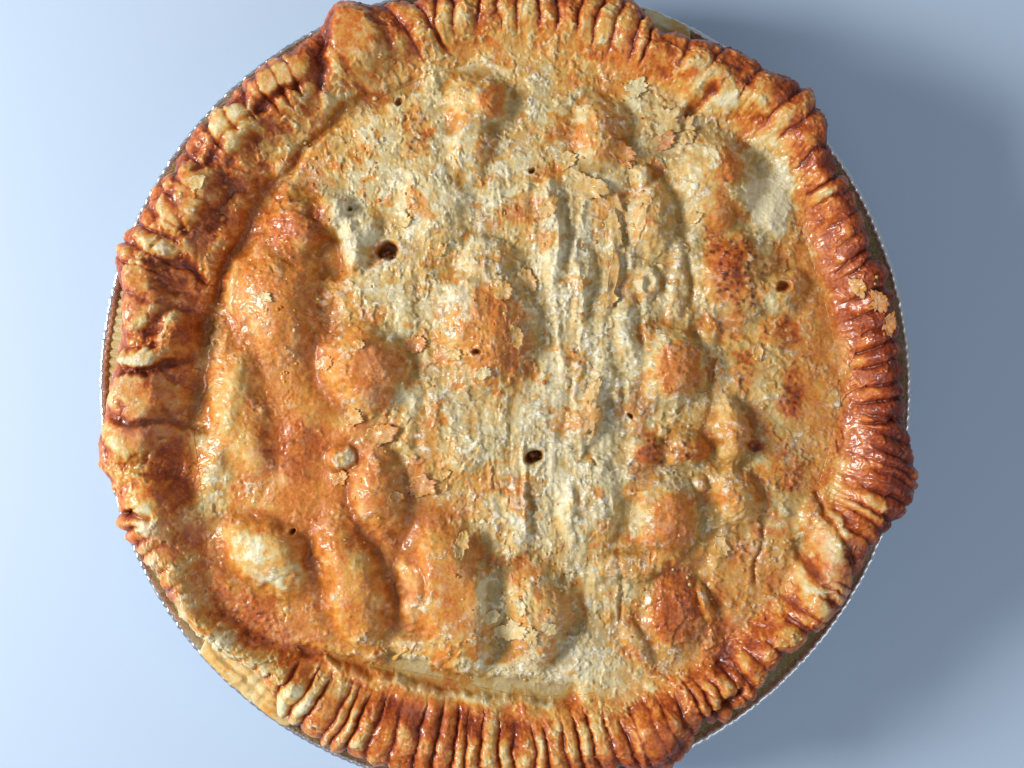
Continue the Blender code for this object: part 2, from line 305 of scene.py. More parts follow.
LUMPS = (
    Lump(-5.6, 16.6, 12, 16, 3.4, 0.26),
    Lump(-4.9, 36.4, 8, 4.6, 1.8, 0.1),
    Lump(-63.9, 24, 10, 13.5, 2.8, 0.12, 10),
    Lump(-38.5, 5.5, 10, 10.5, 3.4, 0.2),
    Lump(-54.7, 45.9, 10.5, 7, 2.6, 0.12, 20),
    Lump(46, 6.1, 8, 9.6, 3.2, 0.34),
    Lump(58.4, 56.9, 10, 11.6, 3.4, 0.08, 15),
    Lump(61, 61.5, 5.5, 5, 0.8, 0.3),
    Lump(44.6, -35.9, 7.4, 9.8, 3.2, 0.34),
    Lump(-7.8, 78.8, 8.4, 7.2, 2.8, 0.06),
    Lump(-4, 79.5, 4.6, 5.5, 0.6, 0.38),
    Lump(-9.6, 67.2, 5.8, 7.6, 2, 0.02),
    Lump(26.2, 70.8, 7, 7.8, 2.8, 0.06),
    Lump(37.6, 58.3, 2.6, 3.6, 1.6, 0),
    Lump(40.6, 48, 6, 9, 2.4, 0.02, 8),
    Lump(64.2, 31.5, 9, 11, 2, 0),
    Lump(76.9, 26.7, 5.8, 5.4, 1.6, 0.06),
    Lump(77.4, 28, 1.6, 1.4, -1.6, 0.2),
    Lump(39.1, -17.3, 5, 3.4, 1.7, 0.12),
    Lump(50.2, -16.6, 4.8, 4.6, 2, 0.12),
    Lump(63, -12, 4.6, 8.6, 3, 0.12),
    Lump(61.8, -17, 3.6, 3.2, 1.4, 0.1),
    Lump(64, -30.3, 5.4, 8.2, 2.4, 0.04, 25),
    Lump(54.2, -26.9, 1.9, 1.9, 1.2, 0.1),
    Lump(37.1, -49.5, 13, 3.2, 1.4, 0.04, 8),
    Lump(47, -63.2, 6.4, 10, 1.6, 0.08),
    Lump(55.2, -59.4, 1.8, 5, 1.4, -0.1, 10),
    Lump(22.7, -8.4, 4.6, 6.4, 1.8, 0.22, -25, 2),
    Lump(39.1, 29.9, 3.2, 4.6, 1.2, -0.04),
    Lump(39.1, 29.9, 1.6, 2.6, -1, 0),
    Lump(-35.4, -28.3, 6.8, 10.6, 2.8, 0.14, 12),
    Lump(-45.5, -18.7, 3, 3.2, 1.8, -0.3),
    Lump(-65.5, -47.1, 12, 8, 3, -0.16, -35, 4),
    Lump(-42.5, -55, 7.4, 17, 3.2, 0, 16, 3.6),
    Lump(-26.8, -56.5, 3.4, 9, 1.8, 0.02, 5),
    Lump(-14.5, -58.5, 10.6, 18, 4.4, 0, 12, 3.8),
    Lump(-4.3, -57.4, 4.8, 6.6, 1.2, -0.2),
    Lump(8.5, -63, 9, 12, 3.4, 0.08, 0, 4),
    Lump(-49, 36, 5, 6.5, -3.6, 0.1, -20, 2.2, 0),
    Lump(-41, 40, 4.4, 8, 1.8, -0.1, -30),
    Lump(73, 52, 8, 9, 1.2, -0.14, 20),
    Lump(-73, -8, 7, 14, 1.6, 0, 12),
    Lump(-20, 52, 9, 12, 1.2, 0, 10),
    Lump(13, 45, 3.4, 13, 0.9, -0.04, 4),
    Lump(21, 30, 2.8, 11, 0.9, -0.06, -6),
    Lump(34, 12, 3, 13, 1, -0.06, 3),
    Lump(26, 0, 2.6, 10, 0.8, -0.04, -4),
    Lump(48, 32, 2.6, 12, 0.8, -0.04, -3),
    Lump(17, -34, 2.6, 9, 0.9, -0.06, 8),
    Lump(3, -36, 3, 10, 0.9, -0.06, -4),
    Lump(36, -70, 3, 7, 0.9, -0.04, 25),
    Lump(56, 10, 2.4, 9, 0.8, -0.02, -8),
    Lump(14, 34, 6, 12, 1, -0.04, 10),
    Lump(24, -32, 7, 12, 1, 0, -5),
    Lump(-10, -18, 8, 6, 0.9, 0, 15),
)

RIM_LUMPS = (
    Lump(-101, 26, 8, 6, 1.8, 0.06, 80),
    Lump(-92, 31, 5, 6, -0.9, 0.1),
    Lump(-100, -1.6, 9, 5, 2.2, 0.06, 0),
    Lump(-103, -12, 9, 6, 2, 0.08, 5),
    Lump(-101, 8, 8, 2.6, 1.4, -0.12, 5),
    Lump(-90, 14, 5, 5.5, 1.8, 0.14),
    Lump(-76, 72, 8, 6, 1.8, 0.04, 45),
    Lump(-64, 86, 9, 5, 2, -0.04, 30),
    Lump(-42, 96, 7, 11, 2.4, 0.08, 15),
    Lump(-88, 52, 9, 7, 1.6, 0.1, 60),
    Lump(56, 84, 9, 6, 1.4, -0.14, -30),
    Lump(90, -56, 8, 10, 1.6, -0.12, 40),
    Lump(42, -96, 6, 8, 2.2, 0.12),
    Lump(-96, -33, 8, 7, 1.6, 0, 20),
    Lump(88, -40, 5, 9, 1.8, -0.16, 20),
)

STAINS = (
    Stain(-60, -24, 24, 52, calm=0.85, turn=8),
    Stain(-34, -46, 26, 24, calm=0.9),
    Stain(78, 52, 10, 13, -0.04, 20, calm=0.6),
    Stain(87, 20, 8, 40, 0.1, calm=0.7),
    Stain(1.5, 12, 4.8, 12, 0.34, 8),
    Stain(-14, 22, 5.5, 8, -0.2, pallor=0.7),
    Stain(-36, 3, 6, 9, 0.22, calm=0.8),
    Stain(-60, 18, 10, 22, 0.14, calm=0.6),
    Stain(-22, -56, 4, 15, 0.12, calm=0.9),
    Stain(-12, -54, 6, 14, 0.2, calm=0.7),
    Stain(-47, -60, 6, 12, 0.16, 30, calm=0.9),
    Stain(46, 5, 6, 9, 0.12),
    Stain(46, -35, 5.5, 7, 0.2, calm=0.6),
    Stain(-60, 10, 24, 60, 0.07, 8),
    Stain(-40, -50, 38, 26, 0.06),
    Stain(52, -62, 30, 20, 0.16, 25, pallor=-0.2),
    Stain(66, 0, 24, 60, 0.09, 0, pallor=-0.25),
    Stain(-10, -100, 60, 14, 0.04),
    Stain(101, -4, 14, 52, 0.2, 4),
    Stain(107, 6, 7, 60, 0.3, 2),
    Stain(94, -54, 9, 16, 0.26, 30),
    Stain(28, 88, 20, 7, 0.18),
    Stain(60, 92, 9, 10, 0.12, 30),
    # Painted light: these patches make the outer roll at the lower left paler, where its top catches the
    # lamp's light.
    Stain(-105, -24, 8, 16, -0.26, 10),
    Stain(-95, -47, 8, 16, -0.3, 25),
    Stain(-84, -66, 8, 12, -0.34, 38),
    Stain(-64, -82, 13, 7, -0.34, -38),
    Stain(-70, 42, 9, 16, 0.1, 30),
    Stain(-50, 66, 12, 7, 0.12, 38, pallor=-0.2),
    Stain(-60, 58, 8, 7, 0.1, 0, 0.2),
    Stain(-78, 76, 8, 16, -0.2, 43),
    Stain(-97, 42, 6, 14, -0.12, 22),
    Stain(-108, 6, 5, 14, -0.14),
    # Painted shade: these patches darken the rim's inner slope and the crevice along the lower left and the
    # bottom, which lie in shade.
    Stain(-78, -50, 5, 14, 0.2, 32),
    Stain(-62, -66, 12, 5, 0.1, -38),
    Stain(-24, -90, 26, 5, 0.16, -8),
    Stain(-80, -12, 5, 8, 0.12),
    Stain(73, 54, 9, 16, -0.3),
    Stain(44, -35, 6, 9, 0.2),
    Stain(60, 30, 7, 9, 0.1),
    Stain(-32, 10, 8, 5, 0.16),
    Stain(-35, -24, 5, 8, 0.14),
    Stain(-38, -62, 5, 13, 0.22, 10),
    Stain(-10, -65, 8, 8, 0.18),
    Stain(70, -9, 4, 6, 0.18),
    Stain(91, 28, 8, 16, 0.12),
    Stain(78, 34, 6, 8, 0.1),
    Stain(40, -46, 18, 7, 0.1),
    Stain(-20, -40, 14, 5, 0.12),
    Stain(58, -84, 12, 8, 0.12),
    Stain(-42, 44, 9, 9, -0.22, pallor=0.3),
    Stain(-15, 36, 8, 6, -0.12),
    Stain(11, -20, 7, 24, -0.16, pallor=0.25),
    Stain(-50, -14, 3, 8, -0.1),
    Stain(-3, -75, 4, 6, -0.16, pallor=0.3),
    Stain(15, -78, 4, 6, -0.16, pallor=0.3),
    Stain(-60, -17, 10, 9, 0.1, 20, 0.3),
    Stain(-58, 30, 3, 16, 0.14, 8),
    Stain(-30, -90, 40, 6, 0.08, -4, calm=0.8),
    Stain(-94, -30, 12, 26, 0.16, 18, pallor=-0.3),
    Stain(98, -16, 7, 22, -0.06, 10, pallor=0.15, rose=0.1),
    Stain(-36, 3, 5, 9, 0.12, 10, rose=0.5),
    Stain(-110, 24, 6, 16, 0.06, -12),
    Stain(-98, -60, 8, 16, 0.08, 30, rose=0.5),
    Stain(-52, -96, 12, 10, -0.12, 30, pallor=0.2),
    Stain(-22, -96, 6, 10, 0.16, rose=0.3),
    Stain(36, -102, 9, 10, 0.14),
    Stain(-96, 34, 12, 18, -0.02, 20, rose=0.1),
    Stain(-90, -8, 9, 26, 0.12),
    Stain(-71, -64, 13, 6, 0.26, -35, 0.4, rose=0.3),
    Stain(-78, -78, 22, 6, -0.24, -42),
    Stain(108, -10, 8, 40, 0.2, 4),
    Stain(100, 52, 9, 22, 0.16, 28),
    Stain(98, -22, 6, 14, -0.1, 14, pallor=0.2, calm=0.5),
    Stain(-64, 8, 26, 56, 0.26, 10),
    Stain(-40, -42, 36, 34, 0.24),
    Stain(-62, -68, 14, 6, 0.14, -30, 0.2),
    Stain(84, 10, 8, 56, 0.12),
    Stain(60, -64, 28, 18, 0.14, 30),
    Stain(-8, 16, 15, 18, 0.06),
    Stain(64.2, 31.5, 8.6, 11, 0.24, 0, 0.75),
    Stain(62, 36, 6, 6, 0.14, 0, 0.5),
    Stain(64, 31, 3, 3.4, -0.14),
    Stain(76, 60, 12, 20, 0.1, 30),
    Stain(47.5, -60, 6, 12, 0.42, 5, 0.35),
    Stain(60, -70, 8, 6, 0.2, 0, 0.4),
    Stain(80, -2, 3, 7, 0.24, 0, 0.6),
    Stain(79, 15, 3, 6, 0.16, 0, 0.4),
    Stain(66, 5, 3.6, 6, 0.2, 0, 0.5),
    Stain(79, -23, 4.6, 5.5, 0.24, 0, 0.7),
    Stain(45, -17, 10, 4.6, 0.16, 0, 0.6),
    Stain(69.4, -16.6, 2.6, 2.6, 0.5, 0, 0.9),
    Stain(-24, 71, 4.6, 8, 0.24, 0, 0.55),
    Stain(54.8, 20, 3, 6, -0.04, 0, 0.3),
    Stain(5.9, 49.8, 6, 4.6, 0.28, 0, 0.1),
    Stain(-67.7, 20, 7, 6.6, -0.12, 0, 0, 0.7),
    Stain(29.6, 66, 6.4, 3, 0.3, 15),
    Stain(-50, -18, 12, 10, 0.12),
    Stain(-44, -40, 10, 7, 0.1, 0, 0.1),
    Stain(-16, -60, 13, 14, 0.06),
    Stain(-27, -57, 4, 10, 0, 0, 0, 0.1, 0.7),
    Stain(14, -62, 6, 9, 0.14, 0, 0, 0, 0.4),
    Stain(28, 10, 22, 50, -0.06, 5, 0, 0.25),
    Stain(30, -74, 34, 9, -0.1, 5, 0, 0.4),
    Stain(-16, 55, 22, 20, -0.04, 0, 0, 0.15),
    Stain(10, 66, 12, 8, 0.04, 0, 0, 0.2),
    Stain(-58, 47, 12, 8, 0.12, 20, 0.35),
    Stain(104, -14, 12, 24, 0.22, 10, 0.1),
    Stain(98, 30, 10, 26, 0.2, 15),
    Stain(105, 2, 9, 56, -0.04, 0, pallor=-0.3, rose=-0.5),
    Stain(88, 66, 8, 16, 0.14, 38),
    Stain(38, 86, 14, 6, 0.1, -14),
    Stain(94, -58, 7, 12, 0.12, -32),
    Stain(-78, -52, 5, 16, 0.14, 26),
    Stain(-22, -92, 14, 5, 0.12, -12),
    Stain(84, 78, 14, 20, 0.1, 45),
    Stain(-96, 30, 12, 12, 0.04, 0, 0.1, 0, 0.1),
    Stain(-84, 60, 16, 14, -0.02, 60, 0.06, 0, 0.1),
    Stain(-98, -6, 12, 12, 0.04, 0, 0, 0, 0.5),
    Stain(-92, -46, 14, 16, -0.02, 0, 0.06, 0, 0.6),
    Stain(-100, 6, 9, 2.4, -0.2, 5, pallor=0.6),
    Stain(93, -52, 8, 14, -0.16, 25, 0, 0.2, 0.5),
    Stain(84, -62, 14, 10, -0.1, 40),
    Stain(44, -96, 7, 9, 0.2),
)

FOLDS = (
    # the valley between the rim and the lid, where it shows as a crease, darkened with painted shade where
    # the rim shades it
    Fold(((-65, 57), (-70, 48), (-73, 39)), 2.4, -2, 0.14, 1),
    Fold(((-73, 42), (-78, 33), (-79, 24)), 1.6, -1.6, 0.1, 1.2),
    Fold(((-79.5, 27), (-83, 15), (-84, 4), (-87, -8)), 2.2, -1.6, 0.06, 0.9),
    Fold(((-26, 84), (-38, 80), (-47, 74)), 2.4, -1.6, 0.06, 0.9),
    Fold(((-45, 77), (-55, 68), (-59, 61), (-66, 56)), 1.6, -1.6, 0.12, 1.1),
    Fold(((-78, 45), (-74, 33), (-76, 22)), 1, 0.8, -0.1),
    Fold(((-62, 66), (-54, 66), (-49, 70)), 1, 0.9, -0.12),
    # a pit darkened with painted shade, and beside it a wall painted paler as painted light where it faces
    # the lamp
    Fold(((-55, 52), (-50, 43), (-47.5, 34)), 3.2, -2.6, 0.04, 1.5),
    Fold(((-46, 51), (-42, 43), (-40.5, 35)), 2.2, 1.2, -0.25),
    Fold(((-50, -75), (-38, -81), (-22, -84), (-6, -87), (12, -88)), 1, 0.9, -0.14),
    Fold(((48, 72), (52, 79), (57, 82)), 1.4, -1.6, 0.3),
    Fold(((-57, -73), (-46, -75), (-38, -78), (-28, -80)), 1.2, -1.6, 0.02, 0.5),
    Fold(((-31, -77), (-26, -79.5), (-18, -81.5), (-8, -82.5), (6, -84), (16, -86)),
         2.8, -4.6, -0.1, 1.3),
    # the vein down the left of the lid
    Fold(((-73, 8), (-77, -8), (-82, -24), (-86, -36)), 3.4, 1.4, -0.12),
    # seams and stretch marks
    Fold(((32, -46), (32.4, -56), (32, -64)), 0.7, -0.7, 0.04),
    Fold(((71, -36), (70, -44), (69, -54)), 0.8, -0.8, 0.08),
    Fold(((5, -16), (5.4, -27), (4.4, -38)), 0.8, 0.8, 0),
    Fold(((12, 58), (15, 40), (13, 22), (16, 6)), 1, 0.7, -0.04),
    Fold(((22, 52), (20, 34), (22, 18), (19, 0), (21, -18)), 0.9, 0.6, -0.04),
    Fold(((33, 44), (31, 20), (33, 0), (30, -22), (32, -42)), 1.6, -0.6, 0.02, 0.15),
    Fold(((50, 44), (52, 22), (57, 4), (56, -14)), 1.4, -0.5, 0.02, 0.15),
    Fold(((-24, 30), (-26, 14), (-22, -2), (-25, -16)), 1.8, -0.7, 0.02, 0.2),
    Fold(((-50, 20), (-52, 6), (-48, -8), (-52, -24)), 4, -1.2, 0.1, 0),
    Fold(((58, -40), (54, -50), (58, -60), (62, -74)), 1.8, -0.9, 0.06, 0.2),
    # hollows and folds of the rim
    Fold(((60, -76), (66, -82), (58, -94)), 2, -1.8, 0.02),
    Fold(((-52, 84), (-52, 92), (-47, 102)), 2.2, -1.7, 0.22),
    Fold(((-84, 60), (-75, 70), (-66, 79), (-58, 82)), 1.4, -1.2, 0.16),
    Fold(((-88, 44), (-92, 52), (-90, 60)), 1.6, -1.2, 0.2),
    Fold(((-76, 78), (-70, 86), (-62, 90)), 1.2, -1, 0.14),
    Fold(((-104, -9), (-92, -9), (-84, -12)), 1.2, -1, 0.1),
    Fold(((-106, 4.6), (-96, 5), (-88, 7)), 1.2, -1, 0.2),
    Fold(((-107, -35), (-98, -36)), 1.2, -1.6, 0.3),
    Fold(((86, -30), (92, -42), (98, -52)), 1.2, -1.2, 0.2),
    Fold(((80, -44), (88, -54), (92, -64)), 1.4, -1.2, 0.12),
    Fold(((-98, 34), (-90, 36), (-82, 30)), 1.4, -1.2, 0.2),
)

VENTS = (
    Lump(-32.4, 37.5, 2.7, 2.5, -6, 0.5, 20, 5, 0),
    Lump(8.5, -19.5, 3, 1.9, -6, 0.55, 10, 5, 0),
)
PINHOLES = (
    Lump(-9.1, 9.2, 0.75, 0.8, -2.2, 0.6, 0, 4, 0),
    Lump(-59.5, -40.1, 0.8, 0.7, -2, 0.6, 0, 4, 0),
    Lump(34.9, -7, 0.8, 0.7, -1.6, 0.4, 0, 4, 0),
    Lump(-42.7, 49, 0.8, 0.8, -1.6, 0.4, 0, 4, 0),
    Lump(7.8, 60.2, 0.8, 0.8, -1.4, 0.3, 0, 4, 0),
    Lump(-29.6, 80, 1, 1, -1.8, 0.4, 0, 4, 0),
)

# where the rim was pinched together: the middle, the start and the end of its fading, its strength
PINCHES = ((166.0, 24.0, 34.0, 1.0), (128.0, 10.0, 16.0, 0.45), (50.0, 14.0, 24.0, 0.4))


# ---------------------------------------------------------------- the crust laid flat


class Paint(Enum):
    """What the crust's material reads from the mesh."""

    BROWNING = "browning"
    PALLOR = "pallor"
    CHAR = "char"
    ROSE = "rose"
    # painted shade: darkens the colour in creases, moats, cracks and hollows
    PAINTED_SHADE = "hollow"


@dataclass
class CrustForm:
    """The plain form of the top crust: its outline, its rim's section and its dome."""

    edge_radius: float = 111.6
    valley_radius: float = 88.0
    crest_height: float = 9.6
    valley_height: float = 2.6
    dome_height: float = 2.6
    crest_share: float = 0.62
    edge_level: float = 0.42
    lip_inward: float = 0.09
    ceiling: float = 11.2
    least: float = 1.4
    ease: float = 1.6

    def edge(self, degrees: Array) -> Array:
        """Return the radius of the outer edge."""
        ragged = 0.55 * Noise(5).fractal(*round_ring(degrees), 5.0, 2)
        return self.edge_radius + ragged + sum(lobe.share(degrees) for lobe in EDGE_LOBES)

    def valley(self, degrees: Array) -> Array:
        """Return the radius of the valley between the rim and the lid."""
        return self.valley_radius + sum(lobe.share(degrees) for lobe in VALLEY_LOBES)

    def crest(self, degrees: Array) -> Array:
        """Return the height of the rim's crest."""
        return self.crest_height + sum(lobe.share(degrees) for lobe in CREST_LOBES)

    def lid_level(self, share: Array) -> Array:
        """Return the height of the plain lid, by its share of the valley's radius."""
        return self.valley_height + self.dome_height * (1.0 - share**4)

    def section(self, slope: Array, turn: Array, degrees: Array) -> tuple[Array, ...]:
        """Return a place on the rim's plain section.

        Args:
            slope: 0 in the valley and 1 on the crest.
            turn: 0 up to the crest, half pi at the outer edge and pi under it.
            degrees: The angle round the pie.

        Returns:
            The radius, the height, the outward and the upward share of the direction in
            which relief stands there, and the radius on the crust laid flat.
        """
        valley, edge, crest = self.valley(degrees), self.edge(degrees), self.crest(degrees)
        crest_radius = valley + self.crest_share * (edge - valley)
        width = edge - crest_radius
        rise = 0.5 - 0.5 * np.cos(math.pi * slope)
        radius = valley + slope * (crest_radius - valley)
        level = self.valley_height + (crest - self.valley_height) * rise
        above = turn <= math.pi / 2
        reach = np.where(above, width, self.lip_inward * (edge - valley))
        middle = self.edge_level * crest
        rolled_radius = crest_radius + np.where(above, 0.0, width - reach) + reach * np.sin(turn)
        rolled_level = middle + np.where(above, crest - middle, middle) * np.cos(turn)
        on_roll = turn > 0.0
        out = np.where(on_roll, np.sin(turn), 0.0)
        up = np.where(on_roll, np.maximum(np.cos(turn), 0.0), 1.0)
        arc = 0.5 * math.pi * np.sqrt(0.5 * (width**2 + (crest - middle) ** 2))
        rolled = np.clip(turn / (math.pi / 2), 0.0, 1.0)
        under = np.clip(turn / (math.pi / 2) - 1.0, 0.0, 1.0)
        laid = crest_radius + width * np.sin(rolled * math.pi / 2) + (arc - width) * 0.8 * rolled**2
        return (np.where(on_roll, rolled_radius, radius), np.where(on_roll, rolled_level, level),
                out, up, np.where(on_roll, laid + 2.0 * under, radius))

    def kept_in(self, level: Array) -> Array:
        """Return the height, with what is over the ceiling or near the underside eased back."""
        over, short = np.maximum(level - self.ceiling, 0.0), np.maximum(self.least - level, 0.0)
        return level + 1.1 * np.tanh(over / self.ease) - over + short - np.tanh(short / self.ease)


@dataclass
class CrustMap:
    """The crust laid flat: a fine square map of its relief, of how it baked and of the shade painted into
    it.
    """

    form: CrustForm
    half_size: float = 124.0
    pitch: float = 0.26
    margin: float = 3.0
    lump_rise: float = 1.8
    lump_baking: float = 1.4
    freckle_spacing: float = 1.9
    crimp_rise: float = 0.9
    relief: Array = field(init=False)
    paints: dict[Paint, Array] = field(init=False)

    def __post_init__(self) -> None:
        """Work out the whole map."""
        count = round(2 * self.half_size / self.pitch) + 1
        line = np.linspace(-self.half_size, self.half_size, count, dtype=np.float32)
        self.pitch = 2 * self.half_size / (count - 1)
        self.x, self.y = np.meshgrid(line, line)
        self.degrees = np.degrees(np.arctan2(self.y, self.x))
        valley, edge = self.form.valley(self.degrees), self.form.edge(self.degrees)
        self.across = ((np.hypot(self.x, self.y) - valley) / (edge - valley)).astype(np.float32)
        self.on_rim = smooth(-0.05, 0.3, self.across)
        self.on_lid = 1.0 - smooth(-0.04, 0.14, self.across)
        self.warped_x = self.x + self._warp(11)
        self.warped_y = self.y + self._warp(14)
        self.relief = np.zeros_like(self.x)
        self.calm = np.zeros_like(self.x)
        self.scorched = np.zeros_like(self.x)
        self.paints = {paint: np.zeros_like(self.x) for paint in Paint}
        for step in (self._bake_evenly, self._raise_lumps, self._press_crimps, self._lay_folds, self._stain,
                     self._wrinkle, self._flake, self._streak_rim, self._knead_rim, self._cut_vents,
                     self._shade_hollows):
            step()
        self._limit_paints()

    def _limit_paints(self) -> None:
        """Keep the browning under what the dough can take, and every paint from 0 to 1."""
        browning = np.maximum(self.paints[Paint.BROWNING], 0.0)
        limit = 0.52 + 0.36 * self.on_rim + self.scorched
        self.paints[Paint.BROWNING] = limit * np.tanh((browning / limit) ** 1.25) ** 0.8
        self.paints[Paint.PALLOR] *= 1.0 - smooth(0.3, 0.6, self.paints[Paint.BROWNING])
        for paint in Paint:
            self.paints[paint] = np.clip(self.paints[paint], 0.0, 1.0)

    def _even(self, seed: int, size: float, octaves: int = 3, gain: float = 0.5) -> Array:
        """Return fractal noise over the map."""
        return Noise(seed).fractal(self.x, self.y, size, octaves, gain)

    def _ragged(self, seed: int, size: float, octaves: int, gain: float) -> Array:
        """Return fractal noise over the shifted places of the map."""
        return Noise(seed).fractal(self.warped_x, self.warped_y, size, octaves, gain)

    def _paint(self, where: object = slice(None), **amounts: Array) -> None:
        """Add to paints, over the whole map or a part of it.

        Args:
            where: The part, as an index into the map.
            amounts: What to add, by the paint's name.
        """
        for name, amount in amounts.items():
            self.paints[Paint(name)][where] += amount

    def _warp(self, seed: int) -> Array:
        """Return how far places are shifted, so that outlines come out ragged."""
        return (1.5 * self._even(seed, 12.0, 1) + 0.7 * self._even(seed + 1, 4.5, 1)
                + 0.4 * self._even(seed + 2, 1.8, 1))

    def _window(self, x: float, y: float, reach: float) -> tuple[slice, slice]:
        """Return the part of the map within a distance of a place."""
        most = self.x.shape[0]
        low_x, high_x = ((x + side * reach + self.half_size) / self.pitch for side in (-1, 1))
        low_y, high_y = ((y + side * reach + self.half_size) / self.pitch for side in (-1, 1))
        return (slice(max(0, int(low_y)), max(1, min(most, int(high_y) + 2))),
                slice(max(0, int(low_x)), max(1, min(most, int(high_x) + 2))))

    def _near(self, lump: Lump, reach: float) -> tuple[tuple[slice, slice], Array]:
        """Return the part of the map round a lump, and how far out each place there is.

        Args:
            lump: The lump.
            reach: How far the part goes, as a share of the lump's longer half.

        Returns:
            The part, and the lump's distances with the places shifted.
        """
        part = self._window(lump.x, lump.y, reach * max(lump.half_a, lump.half_b) + self.margin)
        return part, lump.distance(self.warped_x[part], self.warped_y[part])

    def _sector(self, middle: float, inner: float, outer: float) -> Array:
        """Return 1 round the middle angle, fading to 0 between the inner and the outer half-width."""
        return 1.0 - smooth(inner, outer, turn_between(self.degrees, middle))

    def _blur(self, values: Array, reach: float) -> Array:
        """Return the values averaged over a square with this half-side, twice."""
        steps = max(1, round(reach / self.pitch))
        for axis in (0, 1, 0, 1):
            ends = [(steps + 1, steps) if side == axis else (0, 0) for side in (0, 1)]
            total = np.cumsum(np.pad(values, ends, mode="edge"), axis=axis, dtype=np.float64)
            high = np.take(total, range(2 * steps + 1, total.shape[axis]), axis)
            low = np.take(total, range(0, total.shape[axis] - 2 * steps - 1), axis)
            values = ((high - low) / (2 * steps + 1)).astype(np.float32)
        return values

    def _bake_evenly(self) -> None:
        """Give the lid and the rim their usual browning and their soft unevenness."""
        lid = 0.18 + 0.12 * self._even(21, 16.0, 3)
        mottled = 0.2 * self._even(22, 11.0, 5, 0.65)
        outward = 0.31 - 0.17 * self._sector(205.0, 20.0, 75.0)
        rim = 0.46 + outward * smooth(0.5, 1.0, self.across) + mottled
        crisp = self._sector(215.0, 60.0, 85.0)
        ragged = self.across + 0.08 * self._even(23, 7.0, 3)
        shore = smooth(-0.1, 0.5, ragged) * (1.0 - crisp) + smooth(-0.06, 0.14, ragged) * crisp
        self._paint(browning=lid + (rim - lid) * shore)
        self._paint(rose=0.3 * smooth(0.1, 0.6, self._even(24, 15.0, 2)))

    def _raise_lumps(self) -> None:
        """Raise the lid over the vegetables, and swell the rim."""
        swell = 0.8 * self._even(31, 17.0, 2) + 0.4 * self._even(32, 7.5, 1)
        self.relief += swell * (0.7 + 0.3 * self.on_rim)
        torn = 0.28 * self._ragged(33, 5.0, 4, 0.62)
        for lump in LUMPS + RIM_LUMPS:
            part, distance = self._near(lump, 2.6)
            dome = np.exp(-(distance**lump.flatness))
            ditch = np.exp(-(((distance - 1.32) / 0.3) ** 2))
            self.relief[part] += self.lump_rise * lump.height * (dome - lump.moat * ditch)
            # Partly painted shade: each lump's browning is shifted to its right, away from the lamp on the
            # left, so that side comes out darker.
            baked = replace(lump, x=lump.x + 0.22 * lump.half_a, y=lump.y - 0.08 * lump.half_b)
            out = baked.distance(self.warped_x[part], self.warped_y[part]) + torn[part]
            # Painted shade: the hollow paint darkens the moat round each lump.
            self._paint(part, browning=self.lump_baking * lump.browning * (1.0 - smooth(0.55, 1.0, out)),
                        hollow=0.3 * lump.moat * abs(lump.height) * ditch)

    def _press_crimps(self) -> None:
        """Press the ridges into the rim."""
        jitter = 0.6 * self._even(41, 8.0, 1) + 0.2 * self._even(42, 2.2, 1)
        for number, run in enumerate(CRIMP_RUNS):
            grooves = np.array(run.grooves, dtype=np.float32)
            middle = (grooves[0] + grooves[-1]) / 2
            away = (self.degrees - middle + 180.0) % 360.0 - 180.0
            place = middle + away + run.slant * (self.across - 0.8) + jitter
            near = (place > grooves[0] - 1.2) & (place < grooves[-1] + 1.2)
            near = near & (self.across > run.reach - 0.3)
            place = place[near]
            index = np.clip(np.searchsorted(grooves, place) - 1, 0, len(grooves) - 2)
            phase = (place - grooves[index]) / (grooves[index + 1] - grooves[index])
            inside = smooth(-0.25, 0.1, phase) * (1.0 - smooth(0.9, 1.25, phase))
            chance = Noise(43 + number)
            tall = 0.55 + 0.7 * chance.chance(index, index * 0)
            start = run.reach + 0.24 * (chance.chance(index, index * 0, 5) - 0.5)
            reach = smooth(0.0, 0.22, self.across[near] - start)
            ridge = np.clip(1.0 - (2.0 * np.clip(phase, 0.0, 1.0) - 1.0) ** 2, 0.0, 1.0) ** 0.5
            strength = inside * reach * tall
            self.relief[near] += self.crimp_rise * run.depth * (ridge - 0.78) * strength
            # Partly painted shade: the grooves are browned and charred both as glaze that pooled there and
            # as the shade that falls in them; the ridges are a little paler.
            groove = 1.0 - smooth(0.05, 0.6, ridge)
            self._paint(near, browning=strength * (0.32 * groove - 0.1 * ridge),
                        char=0.2 * strength * smooth(0.7, 1.0, groove))

    def _lay_folds(self) -> None:
        """Lay the creases, the veins and the folds."""
        for fold in FOLDS:
            laid = np.zeros_like(self.x)
            for (ax, ay), (bx, by) in zip(fold.points, fold.points[1:]):
                length = math.hypot(bx - ax, by - ay)
                reach = length / 2 + 4 * fold.half_width + self.margin
                part = self._window((ax + bx) / 2, (ay + by) / 2, reach)
                x, y = self.warped_x[part], self.warped_y[part]
                along = ((x - ax) * (bx - ax) + (y - ay) * (by - ay)) / length**2
                kept = np.clip(along, 0.0, 1.0)
                distance = np.hypot(x - ax - kept * (bx - ax), y - ay - kept * (by - ay))
                share = np.exp(-(((along - kept) * length / fold.half_width) ** 2))
                line = np.exp(-((distance / fold.half_width) ** 2))
                shoulder = np.exp(-(((distance - 2.2 * fold.half_width) / fold.half_width) ** 2)) * share
                fresh = np.maximum(line - laid[part], 0.0)
                laid[part] += fresh
                self.relief[part] += fold.height * fresh - 0.16 * min(fold.height, 0.0) * shoulder
                self._paint(part, browning=fold.browning * fresh)
                # Painted shade: a crease darkens its colour through the hollow paint, by the fold's shade.
                if fold.height < 0.0:
                    self._paint(part, hollow=fold.shade * fresh)

